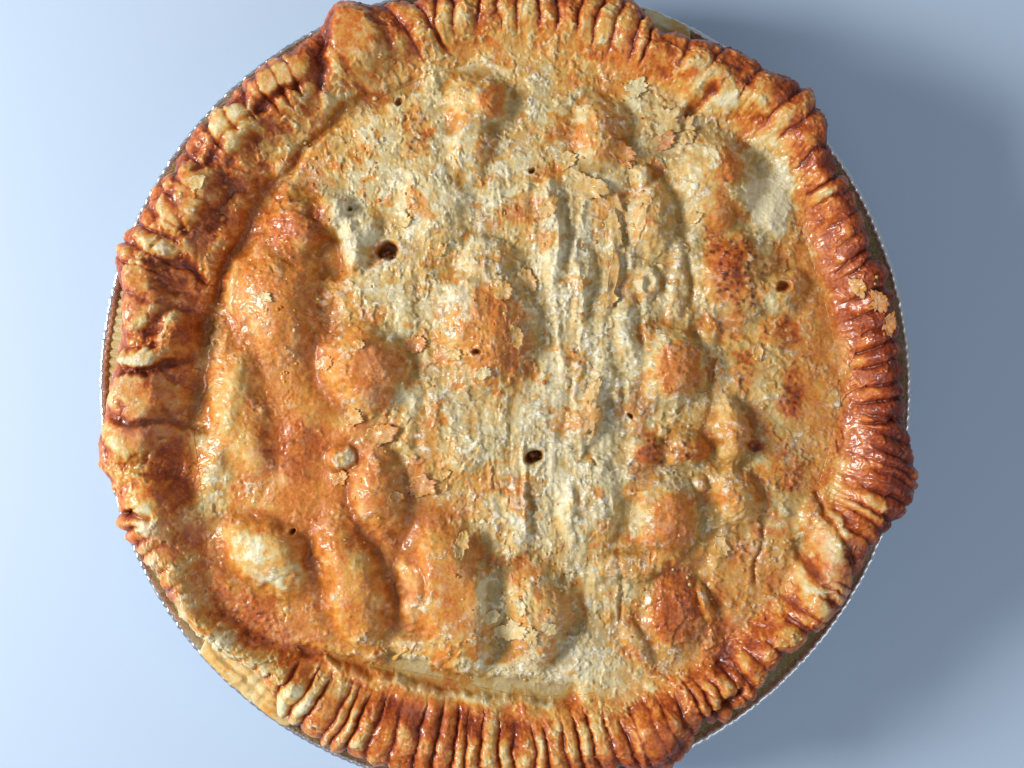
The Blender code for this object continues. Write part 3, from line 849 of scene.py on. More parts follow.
    def _wrinkle(self) -> None:
        """Stretch the middle of the lid into long wrinkles, and roughen the rest."""
        stretched = np.exp(-(((self.x - 24.0) / 44.0) ** 4) - ((self.y + 2.0) / 64.0) ** 4) * self.on_lid
        bend = self.x + 3.0 * self._even(51, 30.0, 1) + 0.35 * self._even(50, 3.0, 1)
        waves = Noise(52).fractal(bend, self.y * 0.12, 3.0, 4, 0.66)
        fibres = 1.0 - 2.2 * np.abs(Noise(53).fractal(bend, self.y * 0.14, 5.0, 3, 0.55))
        fibres = np.clip(fibres, -1.0, 1.0)
        broken = smooth(-0.35, 0.3, self._even(58, 5.0, 3, 0.6))
        self.relief += stretched * (0.26 * waves + 0.34 * fibres * broken)
        self.smoothed = 1.0 - 0.55 * stretched
        streaks = smooth(0.0, 0.8, fibres) * smooth(-0.3, 0.35, self._even(54, 9.0, 3))
        # Pale streaks on the fibres, and painted shade in the troughs between them through the hollow paint.
        self._paint(pallor=0.75 * stretched * streaks,
                    hollow=0.55 * stretched * (1.0 - smooth(-0.9, -0.1, fibres)))
        rough = 1.0 - 0.6 * stretched
        self.relief += rough * 0.14 * self._ragged(55, 3.4, 4, 0.62)

    def _flake(self) -> None:
        """Break the surface into thin sheets and small leaves with ragged edges."""
        rough = 1.0 - 0.8 * self.calm
        sheets = ((61, 20.0, 0.6, 3.6, 0.0), (64, 11.0, 0.4, 2.6, 0.1))
        for seed, size, step, levels, cover in sheets:
            climb = self._ragged(seed, size, 5, 0.56) * levels * 0.6
            share = climb - np.floor(climb)
            where = rough * smooth(cover - 0.1, cover + 0.3, self._even(seed + 1, 6.0, 4, 0.7))
            self.relief += step * (smooth(0.0, 0.07, share) - share) * where
            foot = smooth(0.86, 1.0, share) + 1.0 - smooth(0.0, 0.04, share)
            lip = smooth(0.02, 0.07, share)
            # Pale lips on the sheets, and painted shade at each sheet's foot through the hollow paint.
            self._paint(pallor=0.35 * lip * (1.0 - smooth(0.08, 0.3, share)) * where,
                        hollow=0.22 * foot * where)
        torn_x = self.warped_x + 0.5 * self._even(75, 1.5, 2)
        torn_y = self.warped_y + 0.5 * self._even(76, 1.5, 2)
        leaves = ((67, 5.6, 0.5, 0.1), (68, 2.6, 0.26, 0.1), (69, 1.3, 0.1, 0.0))
        for seed, size, step, cover in leaves:
            spread, number = Noise(seed).cells(torn_x, torn_y * 0.85, size)
            where = rough * smooth(cover - 0.2, cover + 0.3, self._even(seed + 10, 11.0, 3))
            where = where * (0.55 + 0.45 * self.on_lid) * self.smoothed
            self.relief += 0.8 * step * (number - 0.5 - 0.35 * spread) * where
            # Painted shade in the cracks between the leaves, through the hollow paint.
            self._paint(pallor=0.4 * smooth(0.65, 0.9, number) * where * self.on_lid,
                        browning=(0.12 * (1.0 - smooth(0.1, 0.4, number)) - 0.03) * where,
                        hollow=0.25 * smooth(0.5, 0.8, spread) * where)
        mottle = self._ragged(74, 8.0, 4, 0.62)
        self._paint(browning=0.24 * mottle * (0.5 + 0.5 * self.calm) * (1.0 - 0.5 * self.on_rim))
        flecks = Noise(77).fractal(torn_x, torn_y, 8.0, 5, 0.66)
        self._paint(pallor=0.6 * self.calm * smooth(0.38, 0.5, flecks))
        self.relief += 0.3 * self.calm * smooth(0.38, 0.46, flecks)
        embers = smooth(0.2, 0.5, Noise(78).fractal(torn_x, torn_y, 7.0, 5, 0.7))
        self._paint(browning=0.32 * embers * np.maximum(self.calm, 0.5 * self.on_rim))
        self.relief += 0.25 * embers * self.calm * self._even(79, 1.1, 2)
        golden = self._ragged(73, 11.0, 5, 0.66)
        self._paint(browning=0.32 * smooth(0.22, 0.4, golden) * (1.0 - 0.5 * self.on_rim) * rough)
        self._paint(browning=0.1 * self._even(71, 2.6, 4, 0.68) * (0.5 + 0.5 * rough))
        dry = self._ragged(72, 7.0, 5, 0.66)
        self._paint(pallor=0.7 * smooth(0.3, 0.5, dry) * (0.2 + 0.8 * self.on_lid) * rough)

    def _streak_rim(self) -> None:
        """Draw the rim's dough out into streaks that run outwards."""
        bend = self.degrees + 1.6 * self._even(88, 14.0, 1)
        streak = Noise(89).fractal(*round_ring(bend, 100.0), 2.2, 3, 0.6)
        patchy = self._even(90, 9.0, 3)
        self.relief += 0.22 * streak * self.on_rim
        self._paint(browning=self.on_rim * (0.07 * streak + 0.1 * smooth(0.1, 0.5, patchy)),
                    pallor=0.35 * self.on_rim * smooth(0.35, 0.8, streak) * smooth(0.1, 0.4, -patchy))

    def _stain(self) -> None:
        """Bake patches darker or paler, with their freckles, and paint light or shade into a few of them."""
        spread, number = Noise(81).cells(self.x, self.y, self.freckle_spacing)
        speck = (1.0 - smooth(0.16, 0.42, spread)) * smooth(0.25, 0.5, number)
        cloud = self._even(82, 3.2, 4, 0.6)
        edge = 0.3 * self._ragged(83, 6.0, 5, 0.62)
        for stain in STAINS:
            part, distance = self._near(stain.outline(), 2.0)
            cover = 1.0 - smooth(0.6, 1.2, distance + edge[part])
            self.calm[part] = np.maximum(self.calm[part], stain.calm * cover)
            self.scorched[part] = np.maximum(self.scorched[part], 0.4 * stain.freckles * cover)
            marks = 1.5 * speck[part] + 0.6 * smooth(0.12, 0.4, cloud[part])
            self._paint(part, browning=stain.browning * cover, rose=stain.rose * cover,
                        pallor=stain.pallor * cover * smooth(-0.3, 0.4, cloud[part]),
                        char=stain.freckles * cover * marks)

    def _knead_rim(self) -> None:
        """Heap up knobs of dough where the rim was pinched together rather than pressed."""
        spread, number = Noise(97).cells(self.warped_x, self.warped_y, 7.5)
        small, _ = Noise(98).cells(self.warped_x, self.warped_y, 3.4)
        knobs = 0.7 - 1.5 * spread**2 + 0.5 * (number - 0.5) + 0.35 * (0.5 - small)
        pinched = sum(strength * self._sector(*sector) for *sector, strength in PINCHES)
        where = pinched * smooth(0.02, 0.2, self.across) * (1.0 - smooth(0.85, 1.0, self.across))
        self.relief += 1.2 * knobs * where
        # Painted light and shade: the knobs are painted paler and the dips between them browner, following
        # their height.
        self._paint(browning=-0.1 * np.clip(knobs, -1.2, 0.8) * where,
                    pallor=0.5 * where * smooth(0.35, 0.5, self._ragged(99, 6.0, 5, 0.7)))

    def _cut_vents(self) -> None:
        """Open the vents and the pinholes."""
        for vent in VENTS + PINHOLES:
            part, distance = self._near(vent, 3.0)
            hole = np.exp(-(distance**vent.flatness))
            brim = np.exp(-(((distance - 1.4) / 0.35) ** 2))
            self.relief[part] += vent.height * hole + 0.35 * brim
            self._paint(part, browning=vent.browning * hole, char=0.6 * hole, pallor=0.3 * brim - hole)

    def _shade_hollows(self) -> None:
        """Paint shade into the hollows: the rim's hollows are browned, partly as pooled glaze and partly as
        painted shade, the lid's hollows are darkened with painted shade, and its ridges stay pale.
        """
        near = self._blur(self.relief, 0.9) - self.relief
        wide = self._blur(self.relief, 2.6) - self.relief
        broad = self._blur(self.relief, 5.5) - self.relief
        glazed = np.maximum(self.on_rim, 0.9 * self.calm)
        # Painted shade: the hollow paint darkens the hollows, and extra browning darkens the rim's hollows
        # as pooled glaze and painted shade.
        self._paint(hollow=np.clip(near, -0.3, 0.7) + np.clip(wide * 0.5, -0.3, 0.6))
        darker = 0.13 * np.clip(broad, -0.7, 1.6) + 0.16 * np.clip(wide, -0.4, 0.7)
        darker = darker + 0.2 * np.clip(near, -0.3, 0.4)
        self._paint(hollow=0.12 * np.clip(broad, -1.0, 2.0) * self.on_lid, browning=darker * glazed,
                    pallor=-np.clip(near * 0.8, -0.25, 0.6))

    def sample(self, values: Array, x: Array, y: Array) -> Array:
        """Return a map's values at places between its points.

        Args:
            values: One of this map's arrays.
            x: Places across, in millimetres.
            y: Places along, in millimetres.

        Returns:
            One value for each place.
        """
        most = values.shape[0] - 1.001
        column = np.clip((x + self.half_size) / self.pitch, 0.0, most)
        row = np.clip((y + self.half_size) / self.pitch, 0.0, most)
        at_x, at_y = column.astype(int), row.astype(int)
        dx, dy = column - at_x, row - at_y
        low = values[at_y, at_x] * (1 - dx) + values[at_y, at_x + 1] * dx
        high = values[at_y + 1, at_x] * (1 - dx) + values[at_y + 1, at_x + 1] * dx
        return low * (1 - dy) + high * dy

    def top(self, x: Array, y: Array) -> Array:
        """Return the crust's height over its underside at these places."""
        degrees = np.degrees(np.arctan2(y, x))
        valley, edge = self.form.valley(degrees), self.form.edge(degrees)
        across = (np.hypot(x, y) - valley) / (edge - valley)
        share = self.form.crest_share
        beyond = np.arcsin(np.clip((across - share) / (1.0 - share), 0.0, 0.98))
        rim = self.form.section(np.clip(across / share, 0.0, 1.0), beyond, degrees)[1]
        plain = np.where(across < 0.0, self.form.lid_level(np.hypot(x, y) / valley), rim)
        return self.form.kept_in(plain + self.sample(self.relief, x, y))


# ---------------------------------------------------------------- meshes


def flat_grid(columns: int, rows: int) -> bmesh.types.BMesh:
    """Return a flat grid whose vertices lie at whole numbers from zero."""
    shape = bmesh.new()
    bmesh.ops.create_grid(shape, x_segments=columns, y_segments=rows, size=0.5)
    bmesh.ops.translate(shape, verts=shape.verts, vec=Vector((0.5, 0.5, 0.0)))
    bmesh.ops.scale(shape, verts=shape.verts, vec=Vector((columns, rows, 1.0)))
    return shape


def new_object(name: str, shape: bmesh.types.BMesh, material: bpy.types.Material) -> bpy.types.Object:
    """Turn a bmesh into an object of the scene, smooth shaded.

    Args:
        name: The piece's name.
        shape: The bmesh, which is freed.
        material: The material of its faces.

    Returns:
        The new object.
    """
    mesh = bpy.data.meshes.new(name)
    shape.to_mesh(mesh)
    shape.free()
    mesh.shade_smooth()
    mesh.materials.append(material)
    obj = bpy.data.objects.new(name, mesh)
    bpy.context.scene.collection.objects.link(obj)
    return obj


def points_of(mesh: bpy.types.Mesh) -> Array:
    """Return a mesh's vertex places as rows of three."""
    flat = np.empty(len(mesh.vertices) * 3)
    mesh.vertices.foreach_get("co", flat)
    return flat.reshape(-1, 3)


def move_points(mesh: bpy.types.Mesh, x: Array, y: Array, z: Array) -> None:
    """Set a mesh's vertex places from millimetres."""
    mesh.vertices.foreach_set("co", (np.stack([x, y, z], axis=1) * MM).astype(np.float32).ravel())
    mesh.update()


def close_up(mesh: bpy.types.Mesh) -> None:
    """Join vertices that lie on each other, fill open ends and turn every face outwards."""
    shape = bmesh.new()
    shape.from_mesh(mesh)
    bmesh.ops.remove_doubles(shape, verts=shape.verts, dist=0.0005 * MM)
    bmesh.ops.holes_fill(shape, edges=[edge for edge in shape.edges if edge.is_boundary], sides=0)
    bmesh.ops.recalc_face_normals(shape, faces=shape.faces)
    shape.to_mesh(mesh)
    shape.free()


def write_paint(mesh: bpy.types.Mesh, paint: Paint, values: Array) -> None:
    """Store one paint on a mesh's vertices."""
    layer = mesh.attributes.new(paint.value, "FLOAT", "POINT")
    layer.data.foreach_set("value", values.astype(np.float32))


def sharpen(mesh: bpy.types.Mesh, chosen: Array) -> None:
    """Mark the edges between chosen vertices sharp, so that each side shades on its own."""
    ends = np.empty(len(mesh.edges) * 2, dtype=np.int64)
    mesh.edges.foreach_get("vertices", ends)
    marked = chosen[ends.reshape(-1, 2)].all(axis=1)
    layer = mesh.attributes.get("sharp_edge") or mesh.attributes.new("sharp_edge", "BOOLEAN", "EDGE")
    layer.data.foreach_set("value", marked)


def settle(piece: bpy.types.Object, slot: str, *nodes: str) -> bpy.types.Object:
    """Let a piece ride on the pie's body and stand for CAD nodes."""
    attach(piece, BODY)
    for node in nodes:
        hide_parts(node)
    LOG.info("made %s: %d faces", piece.name, len(piece.data.polygons))
    return piece


@dataclass
class CrustPiece:
    """A part of the top crust's skin, with the shared form and map that shape it."""

    form: CrustForm
    chart: CrustMap
    base_level: float
    material: bpy.types.Material

    def _dress(self, piece: bpy.types.Object, x: Array, y: Array, border: Array) -> None:
        """Paint a piece from the map, sharpen its border and let it stand for the crust.

        Args:
            piece: The piece, whose vertices are already in place.
            x: Where each vertex lies across the crust laid flat.
            y: Where each vertex lies along it.
            border: Which vertices lie on the edge of the visible skin.
        """
        for paint, values in self.chart.paints.items():
            write_paint(piece.data, paint, self.chart.sample(values, x, y))
        sharpen(piece.data, border)
        settle(piece, "golden_crust", "top_crust")


@dataclass
class CrustLid(CrustPiece):
    """The lid of the top crust, from its middle out to the valley, in four quarters."""

    cells: int = 296

    def build(self) -> None:
        """Make the quarters as closed sheets with a flat underside."""
        for number, (side_x, side_y) in enumerate(((1, 1), (-1, 1), (-1, -1), (1, -1))):
            self._quarter(f"crust_lid_{number + 1}", side_x, side_y)

    def _quarter(self, name: str, side_x: int, side_y: int) -> None:
        """Make the quarter that lies towards these signs of X and Y."""
        shape = flat_grid(self.cells, self.cells)
        rim = [edge for edge in shape.edges if edge.is_boundary]
        made = bmesh.ops.extrude_edge_only(shape, edges=rim)["geom"]
        for vertex in (item for item in made if isinstance(item, bmesh.types.BMVert)):
            vertex.co.z = -1.0
        bmesh.ops.holes_fill(shape, edges=[edge for edge in shape.edges if edge.is_boundary], sides=0)
        piece = new_object(name, shape, self.material)
        grid = points_of(piece.data)
        a, b = grid[:, 0] / self.cells, grid[:, 1] / self.cells
        share = np.maximum(a, b)
        slope = np.minimum(a, b) / np.maximum(share, 1e-9)
        turn = np.where(a >= b, slope, 2.0 - slope) * math.pi / 4
        x, y = side_x * np.cos(turn), side_y * np.sin(turn)
        reach = share * self.form.valley(np.degrees(np.arctan2(y, x)))
        x, y = reach * x, reach * y
        level = self.form.lid_level(share) + self.chart.sample(self.chart.relief, x, y)
        on_top = grid[:, 2] > -0.5
        level = np.where(on_top, self.form.kept_in(level), 0.0)
        move_points(piece.data, x, y, level + self.base_level)
        close_up(piece.data)
        border = on_top & ((np.minimum(a, b) < 1e-6) | (share > 1.0 - 1e-6))
        self._dress(piece, x, y, border)


@dataclass
class CrustRim(CrustPiece):
    """The rolled, crimped and lobed rim of the top crust, in four quarters."""

    around: int = 592
    slope_rows: int = 66
    roll_rows: int = 50
    lip_rows: int = 12
    pull_in: float = 2.0

    def build(self) -> None:
        """Make the quarters as closed bows."""
        for number in range(4):
            self._quarter(f"crust_rim_{number + 1}", 90.0 * number)

    def _quarter(self, name: str, start: float) -> None:
        """Make the quarter that starts at this angle."""
        last = self.slope_rows + self.roll_rows + self.lip_rows
        piece = new_object(name, flat_grid(self.around, last + 2), self.material)
        grid = np.rint(points_of(piece.data))
        degrees, row = start + 90.0 * grid[:, 0] / self.around, grid[:, 1]
        slope = np.clip(row / self.slope_rows, 0.0, 1.0)
        turn = (np.clip((row - self.slope_rows) / self.roll_rows, 0.0, 1.0)
                + np.clip((row - self.slope_rows - self.roll_rows) / self.lip_rows, 0.0, 1.0)) * math.pi / 2
        radius, level, out, up, laid = self.form.section(slope, turn, degrees)
        cos_turn, sin_turn = np.cos(np.radians(degrees)), np.sin(np.radians(degrees))
        relief = self.chart.sample(self.chart.relief, laid * cos_turn, laid * sin_turn)
        rolled = np.where(turn > math.pi / 2, 1.0, np.sin(turn))
        radius = radius + np.clip(relief, -2.4, 1.4) * out - self.pull_in * rolled
        raised = self.form.kept_in(level + relief * up)
        level = np.where(row <= self.slope_rows + self.roll_rows / 2, raised,
                         np.maximum(raised * up + level * (1.0 - up), 0.0))
        valley = self.form.valley(degrees)
        radius = np.where(row > last, valley, radius)
        level = np.where(row == last + 1, 0.0, level)
        first = self.form.section(slope * 0.0, turn * 0.0, degrees)[1]
        first = first + self.chart.sample(self.chart.relief, valley * cos_turn, valley * sin_turn)
        level = np.where((row == last + 2) | (row == 0), self.form.kept_in(first), level)
        move_points(piece.data, radius * cos_turn, radius * sin_turn, level + self.base_level)
        border = (row == 0) | (grid[:, 0] == 0) | (grid[:, 0] == self.around)
        self._dress(piece, laid * cos_turn, laid * sin_turn, border)
        close_up(piece.data)


@dataclass
class BottomCrust:
    """The bottom crust, whose layered edge shows between the tin and the top crust."""

    form: CrustForm
    low: float
    high: float
    rim_level: float
    mouth: float = 111.4
    around: int = 900
    edge_rows: int = 16
    top_rows: int = 14
    setback: float = 2.2
    gap_middle: float = 177.0
    gap_depth: float = 6.5
    ledges: tuple[tuple[float, float, float], ...] = ((-131.0, 9.5, 113.4), (66.0, 4.5, 113.6))

    def edge(self, degrees: Array) -> Array:
        """Return the radius of the crust's edge over the tin's rim."""
        radius = self.form.edge(degrees) - self.setback
        in_gap = 1.0 - smooth(12.0, 18.0, turn_between(degrees, self.gap_middle))
        radius = radius - self.gap_depth * in_gap
        for middle, half_width, reach in self.ledges:
            share = 1.0 - smooth(half_width - 1.5, half_width, turn_between(degrees, middle))
            radius = radius + share * np.maximum(reach - radius, 0.0)
        return radius + 0.4 * Noise(91).fractal(*round_ring(degrees), 6.0, 4, 0.6)

    def build(self, material: bpy.types.Material) -> bpy.types.Object:
        """Make the crust as a turned solid with a ragged edge of layers.

        Args:
            material: The dough's material.

        Returns:
            The finished piece.
        """
        ledge_low = self.rim_level + 0.2
        fixed = ((0.0, self.low), (78.0, self.low), (86.0, self.low + 0.8), (104.0, 0.7 * self.rim_level))
        rows = len(fixed) + 2 + self.edge_rows + self.top_rows + 1
        piece = new_object("bottom_crust_shell", flat_grid(self.around, rows - 1), material)
        grid = np.rint(points_of(piece.data))
        row, turn = grid[:, 1], grid[:, 0] * math.tau / self.around
        degrees = np.degrees(turn)
        edge = self.edge(degrees)
        neck = np.minimum(self.mouth - 1.2, edge - 1.0)
        share = np.clip((row - len(fixed) - 2) / (self.edge_rows - 1), 0.0, 1.0)
        bulge = np.sin(math.pi * share) ** 0.5
        x, y = round_ring(degrees)
        layers = 0.3 * np.sin(share * math.tau * 3.0 + 2.0 * Noise(93).plain(x, y, 9.0))
        layers = layers + 0.35 * Noise(92).fractal(x, y + share * 9.0, 2.4, 3)
        radius = edge - 1.0 + (1.0 + layers) * bulge
        uneven = 0.7 * Noise(94).fractal(x, y, 7.0, 4, 0.6) - 0.3
        level = ledge_low + (self.high + np.minimum(uneven, 0.25) - ledge_low) * share
        for index, (at, height) in enumerate(fixed):
            radius, level = np.where(row == index, at, radius), np.where(row == index, height, level)
        for offset, height in ((0, self.rim_level - 2.0), (1, ledge_low)):
            here = row == len(fixed) + offset
            radius, level = np.where(here, neck, radius), np.where(here, height, level)
        inward = np.clip((row - (rows - 2 - self.top_rows)) / self.top_rows, 0.0, 1.0)
        radius = np.where(inward > 0.0, edge - 1.0 - 7.0 * inward, radius)
        x, y = radius * np.cos(turn), radius * np.sin(turn)
        rings = 2.4 * radius + 3.0 * Noise(96).plain(x, y, 9.0)
        rough = 0.9 * Noise(95).fractal(x, y, 4.0, 4, 0.65) + 0.3 * np.sin(rings)
        rough = np.clip(rough, -0.9, 0.5) * np.minimum(1.0, 4.0 * inward)
        level = np.where(inward > 0.0, level + rough, level)
        radius = np.where(row == rows - 1, 0.0, radius)
        move_points(piece.data, radius * np.cos(turn), radius * np.sin(turn), level)
        close_up(piece.data)
        return settle(piece, "baked_dough", "bottom_crust")


@dataclass
class FlutedTin:
    """The foil tin, with its fluted wall and its pleated, rolled rim."""

    rim_radius: float
    height: float
    base_radius: float = 87.0
    mouth_radius: float = 112.2
    flutes: int = 288
    flute_depth: float = 0.36
    bead_radius: float = 0.75
    across_flute: int = 4
    wall_rows: int = 12

    def _profile(self) -> Array:
        """Return the tin's section, from the middle underneath, over the rim and back inside.

        Returns:
            Rows of radius, height, strength of the flutes and strength of the pleats.
        """
        low_foot = (self.base_radius - 0.3, 1.0)
        low_mouth = (self.mouth_radius + 0.5, self.height - 1.4)
        rows = [(0.0, 0.0, 0.0, 0.0), (26.0, 0.0, 0.0, 0.0), (27.0, 0.35, 0.0, 0.0),
                (29.0, 0.35, 0.0, 0.0), (30.0, 0.0, 0.0, 0.0), (66.0, 0.0, 0.0, 0.0),
                (67.0, 0.35, 0.0, 0.0), (70.0, 0.35, 0.0, 0.0), (71.0, 0.0, 0.0, 0.0),
                (82.0, 0.0, 0.0, 0.0), (85.2, 0.1, 0.1, 0.0)]
        for step in range(self.wall_rows + 1):
            share = step / self.wall_rows
            place = [foot + (mouth - foot) * share for foot, mouth in zip(low_foot, low_mouth)]
            rows.append((*place, min(1.0, 0.4 + 3.0 * share), 0.0))
        middle = (self.rim_radius - self.bead_radius - 0.2, self.height - self.bead_radius - 0.1)
        for step in range(10):
            turn = math.radians(-130.0 + 29.0 * step)
            rows.append((middle[0] + self.bead_radius * math.cos(turn),
                         middle[1] + self.bead_radius * math.sin(turn), 0.0, 1.0))
        rows.append((self.mouth_radius, self.height - 0.9, 0.5, 0.3))
        for step in range(self.wall_rows + 1):
            share = 1.0 - step / self.wall_rows
            rows.append((self.base_radius - 0.6 + (self.mouth_radius - self.base_radius + 0.3) * share,
                         1.3 + (self.height - 2.8) * share, min(1.0, 0.4 + 3.0 * share), 0.0))
        rows += [(84.2, 0.5, 0.0, 0.0), (60.0, 0.45, 0.0, 0.0), (0.0, 0.45, 0.0, 0.0)]
        return np.array(rows)

    def build(self, material: bpy.types.Material) -> bpy.types.Object:
        """Make the tin by turning its section, then pressing the flutes and pleats.

        Args:
            material: The foil's material.

        Returns:
            The finished piece.
        """
        table = self._profile()
        steps = self.flutes * self.across_flute
        piece = new_object("fluted_tin", flat_grid(steps, len(table) - 1), material)
        grid = np.rint(points_of(piece.data))
        radius, level, flute, pleat = table[grid[:, 1].astype(int)].T
        turn = grid[:, 0] * math.tau / steps
        x, y = round_ring(np.degrees(turn))
        crush = Noise(102).fractal(x + 0.5 * level, y, 1.9, 3, 0.7)
        bend = Noise(103).fractal(x + 0.2 * level, y, 28.0, 2)
        wave = np.cos(turn * self.flutes)
        radius = radius + flute * (self.flute_depth * wave + 0.16 * crush + 0.25 * bend)
        radius = radius + pleat * (0.1 * wave + 0.16 * crush - 0.1)
        level = level + pleat * (0.12 * np.cos(turn * self.flutes + 1.2) + 0.2 * crush + 0.1 * bend)
        move_points(piece.data, radius * np.cos(turn), radius * np.sin(turn), level)
        close_up(piece.data)
        return settle(piece, "foil", "foil_tin")


@dataclass(frozen=True)
class Flake:
    """One thin leaf of pastry that has come loose."""

    x: float
    y: float
    half_a: float
    half_b: float
    turn: float = 0.0
    browning: float = 0.4
    lift: float = 0.5
    curl: float = 0.6
    arms: tuple[tuple[float, float], ...] = ()


FLAKES = (
    Flake(28.6, 24.4, 2, 2, 0, 0.4, 0.8, 0.6, ((80, 5.4), (192, 2.8))),
    Flake(44, 74, 4.6, 4, 10, 0.3, 0.6),
    Flake(22, 56, 7, 3.6, -20, 0.36, 0.9, 0.9),
    Flake(29, 52.4, 4, 2.2, -55, 0.44, 0.6),
    Flake(-50, 7, 2.4, 1.8, 20, 0.5),
    Flake(-42, -8, 2.6, 2, -10, 0.44),
    Flake(-25, 12, 3, 2.2, 0, 0.56, 0.6),
    Flake(-34.6, -13, 4.4, 2.8, 15, 0.5, 0.7),
    Flake(-46, -25, 2.4, 1.8, 30, 0.5),
    Flake(-23, -27.5, 4.6, 2.8, 5, 0.54, 0.9, 1),
    Flake(-12, -43, 1.8, 3.6, -15, 0.36, 0.8, 1),
    Flake(23, -8, 3, 4.6, -25, 0.44, 0.5),
    Flake(1.5, -67, 4.2, 2.6, 10, 0.26, 0.5),
    Flake(-3.6, -63, 2.2, 1.8, 40, 0.26, 0.5),
    Flake(7, -68, 2, 2.4, 20, 0.3, 0.5),
    Flake(102, 23.6, 2.4, 3.2, 20, 0.55, 0.4, 0.2),
    Flake(105.4, 17.4, 2, 3, -10, 0.58, 0.4, 0.2),
    Flake(96.8, 27.6, 1.8, 2.6, 40, 0.5, 0.4, 0.2),
    Flake(6, 30, 2.2, 3.4, 30, 0.4, 0.4),
    Flake(-1, 27, 3.2, 2.4, -20, 0.42, 0.4),
    Flake(3, 14, 2.2, 3, 0, 0.4, 0.4),
    Flake(36, 83, 3.4, 2.4, 30, 0.2, 0.5),
    Flake(-18, 38, 2, 1.4, 40, 0.4, 0.4),
    Flake(52, 47, 2, 1.4, 0, 0.36, 0.4),
    Flake(33, 63, 2.6, 1.8, -35, 0.5, 0.4),
    Flake(31, 66, 5, 2.4, -28, 0.56, 0.5),
    Flake(43.5, 68.5, 3.4, 2.6, 25, 0.6, 0.4),
    Flake(50, 72, 3, 3.6, 0, 0.36, 0.5),
    Flake(17, 63, 3, 2, 40, 0.3, 0.4),
    Flake(30, 44, 2.2, 4.6, 12, 0.34, 0.5),
    Flake(12, 50, 2, 3.6, -30, 0.4, 0.4),
    Flake(-14, 9, 1.8, 1.4, 10, 0.36, 0.3),
    Flake(-6, 4, 2.4, 1.6, 30, 0.2, 0.4),
    Flake(24, -1, 1.8, 3.4, -30, 0.34, 0.4),
    Flake(-66, 25, 1.8, 1.2, -15, 0.26, 0.2),
    Flake(-28, 46, 2.2, 1.4, 25, 0.3, 0.3),
    Flake(-30, -30, 1.8, 1.4, 0, 0.5, 0.4),
    Flake(-17, -24, 1.6, 1.2, 30, 0.4, 0.4),
    Flake(12, -66, 2.2, 1.8, -20, 0.28, 0.4),
    Flake(4, -60, 1.6, 2.2, 15, 0.26, 0.4),
    Flake(-40, 12, 1.6, 1.2, 0, 0.44, 0.3),
    Flake(-84, 56, 2.4, 1.6, 40, 0.3, 0.4),
    Flake(60, -44, 1.8, 2.8, 20, 0.36, 0.3),
    Flake(70, 10, 1.4, 2, 0, 0.4, 0.3),
)
CRUMB_HEAPS = (
    (-30, -22, 12), (-2, -66, 7), (28, 50, 9), (36, 74, 9), (-6, 20, 11),
    (50, -60, 12), (104, 24, 4), (-60, 22, 9), (20, 20, 16), (-84, 44, 8),
    (10, -50, 9), (-40, 60, 12),
)


@dataclass
class Topping:
    """Something small that lies on the crust or in it."""

    chart: CrustMap
    base_level: float
    material: bpy.types.Material

    def _settle(self, name: str, shape: bmesh.types.BMesh) -> None:
        """Turn the finished shape into a piece of this name."""
        settle(new_object(name, shape, self.material), "golden_crust")


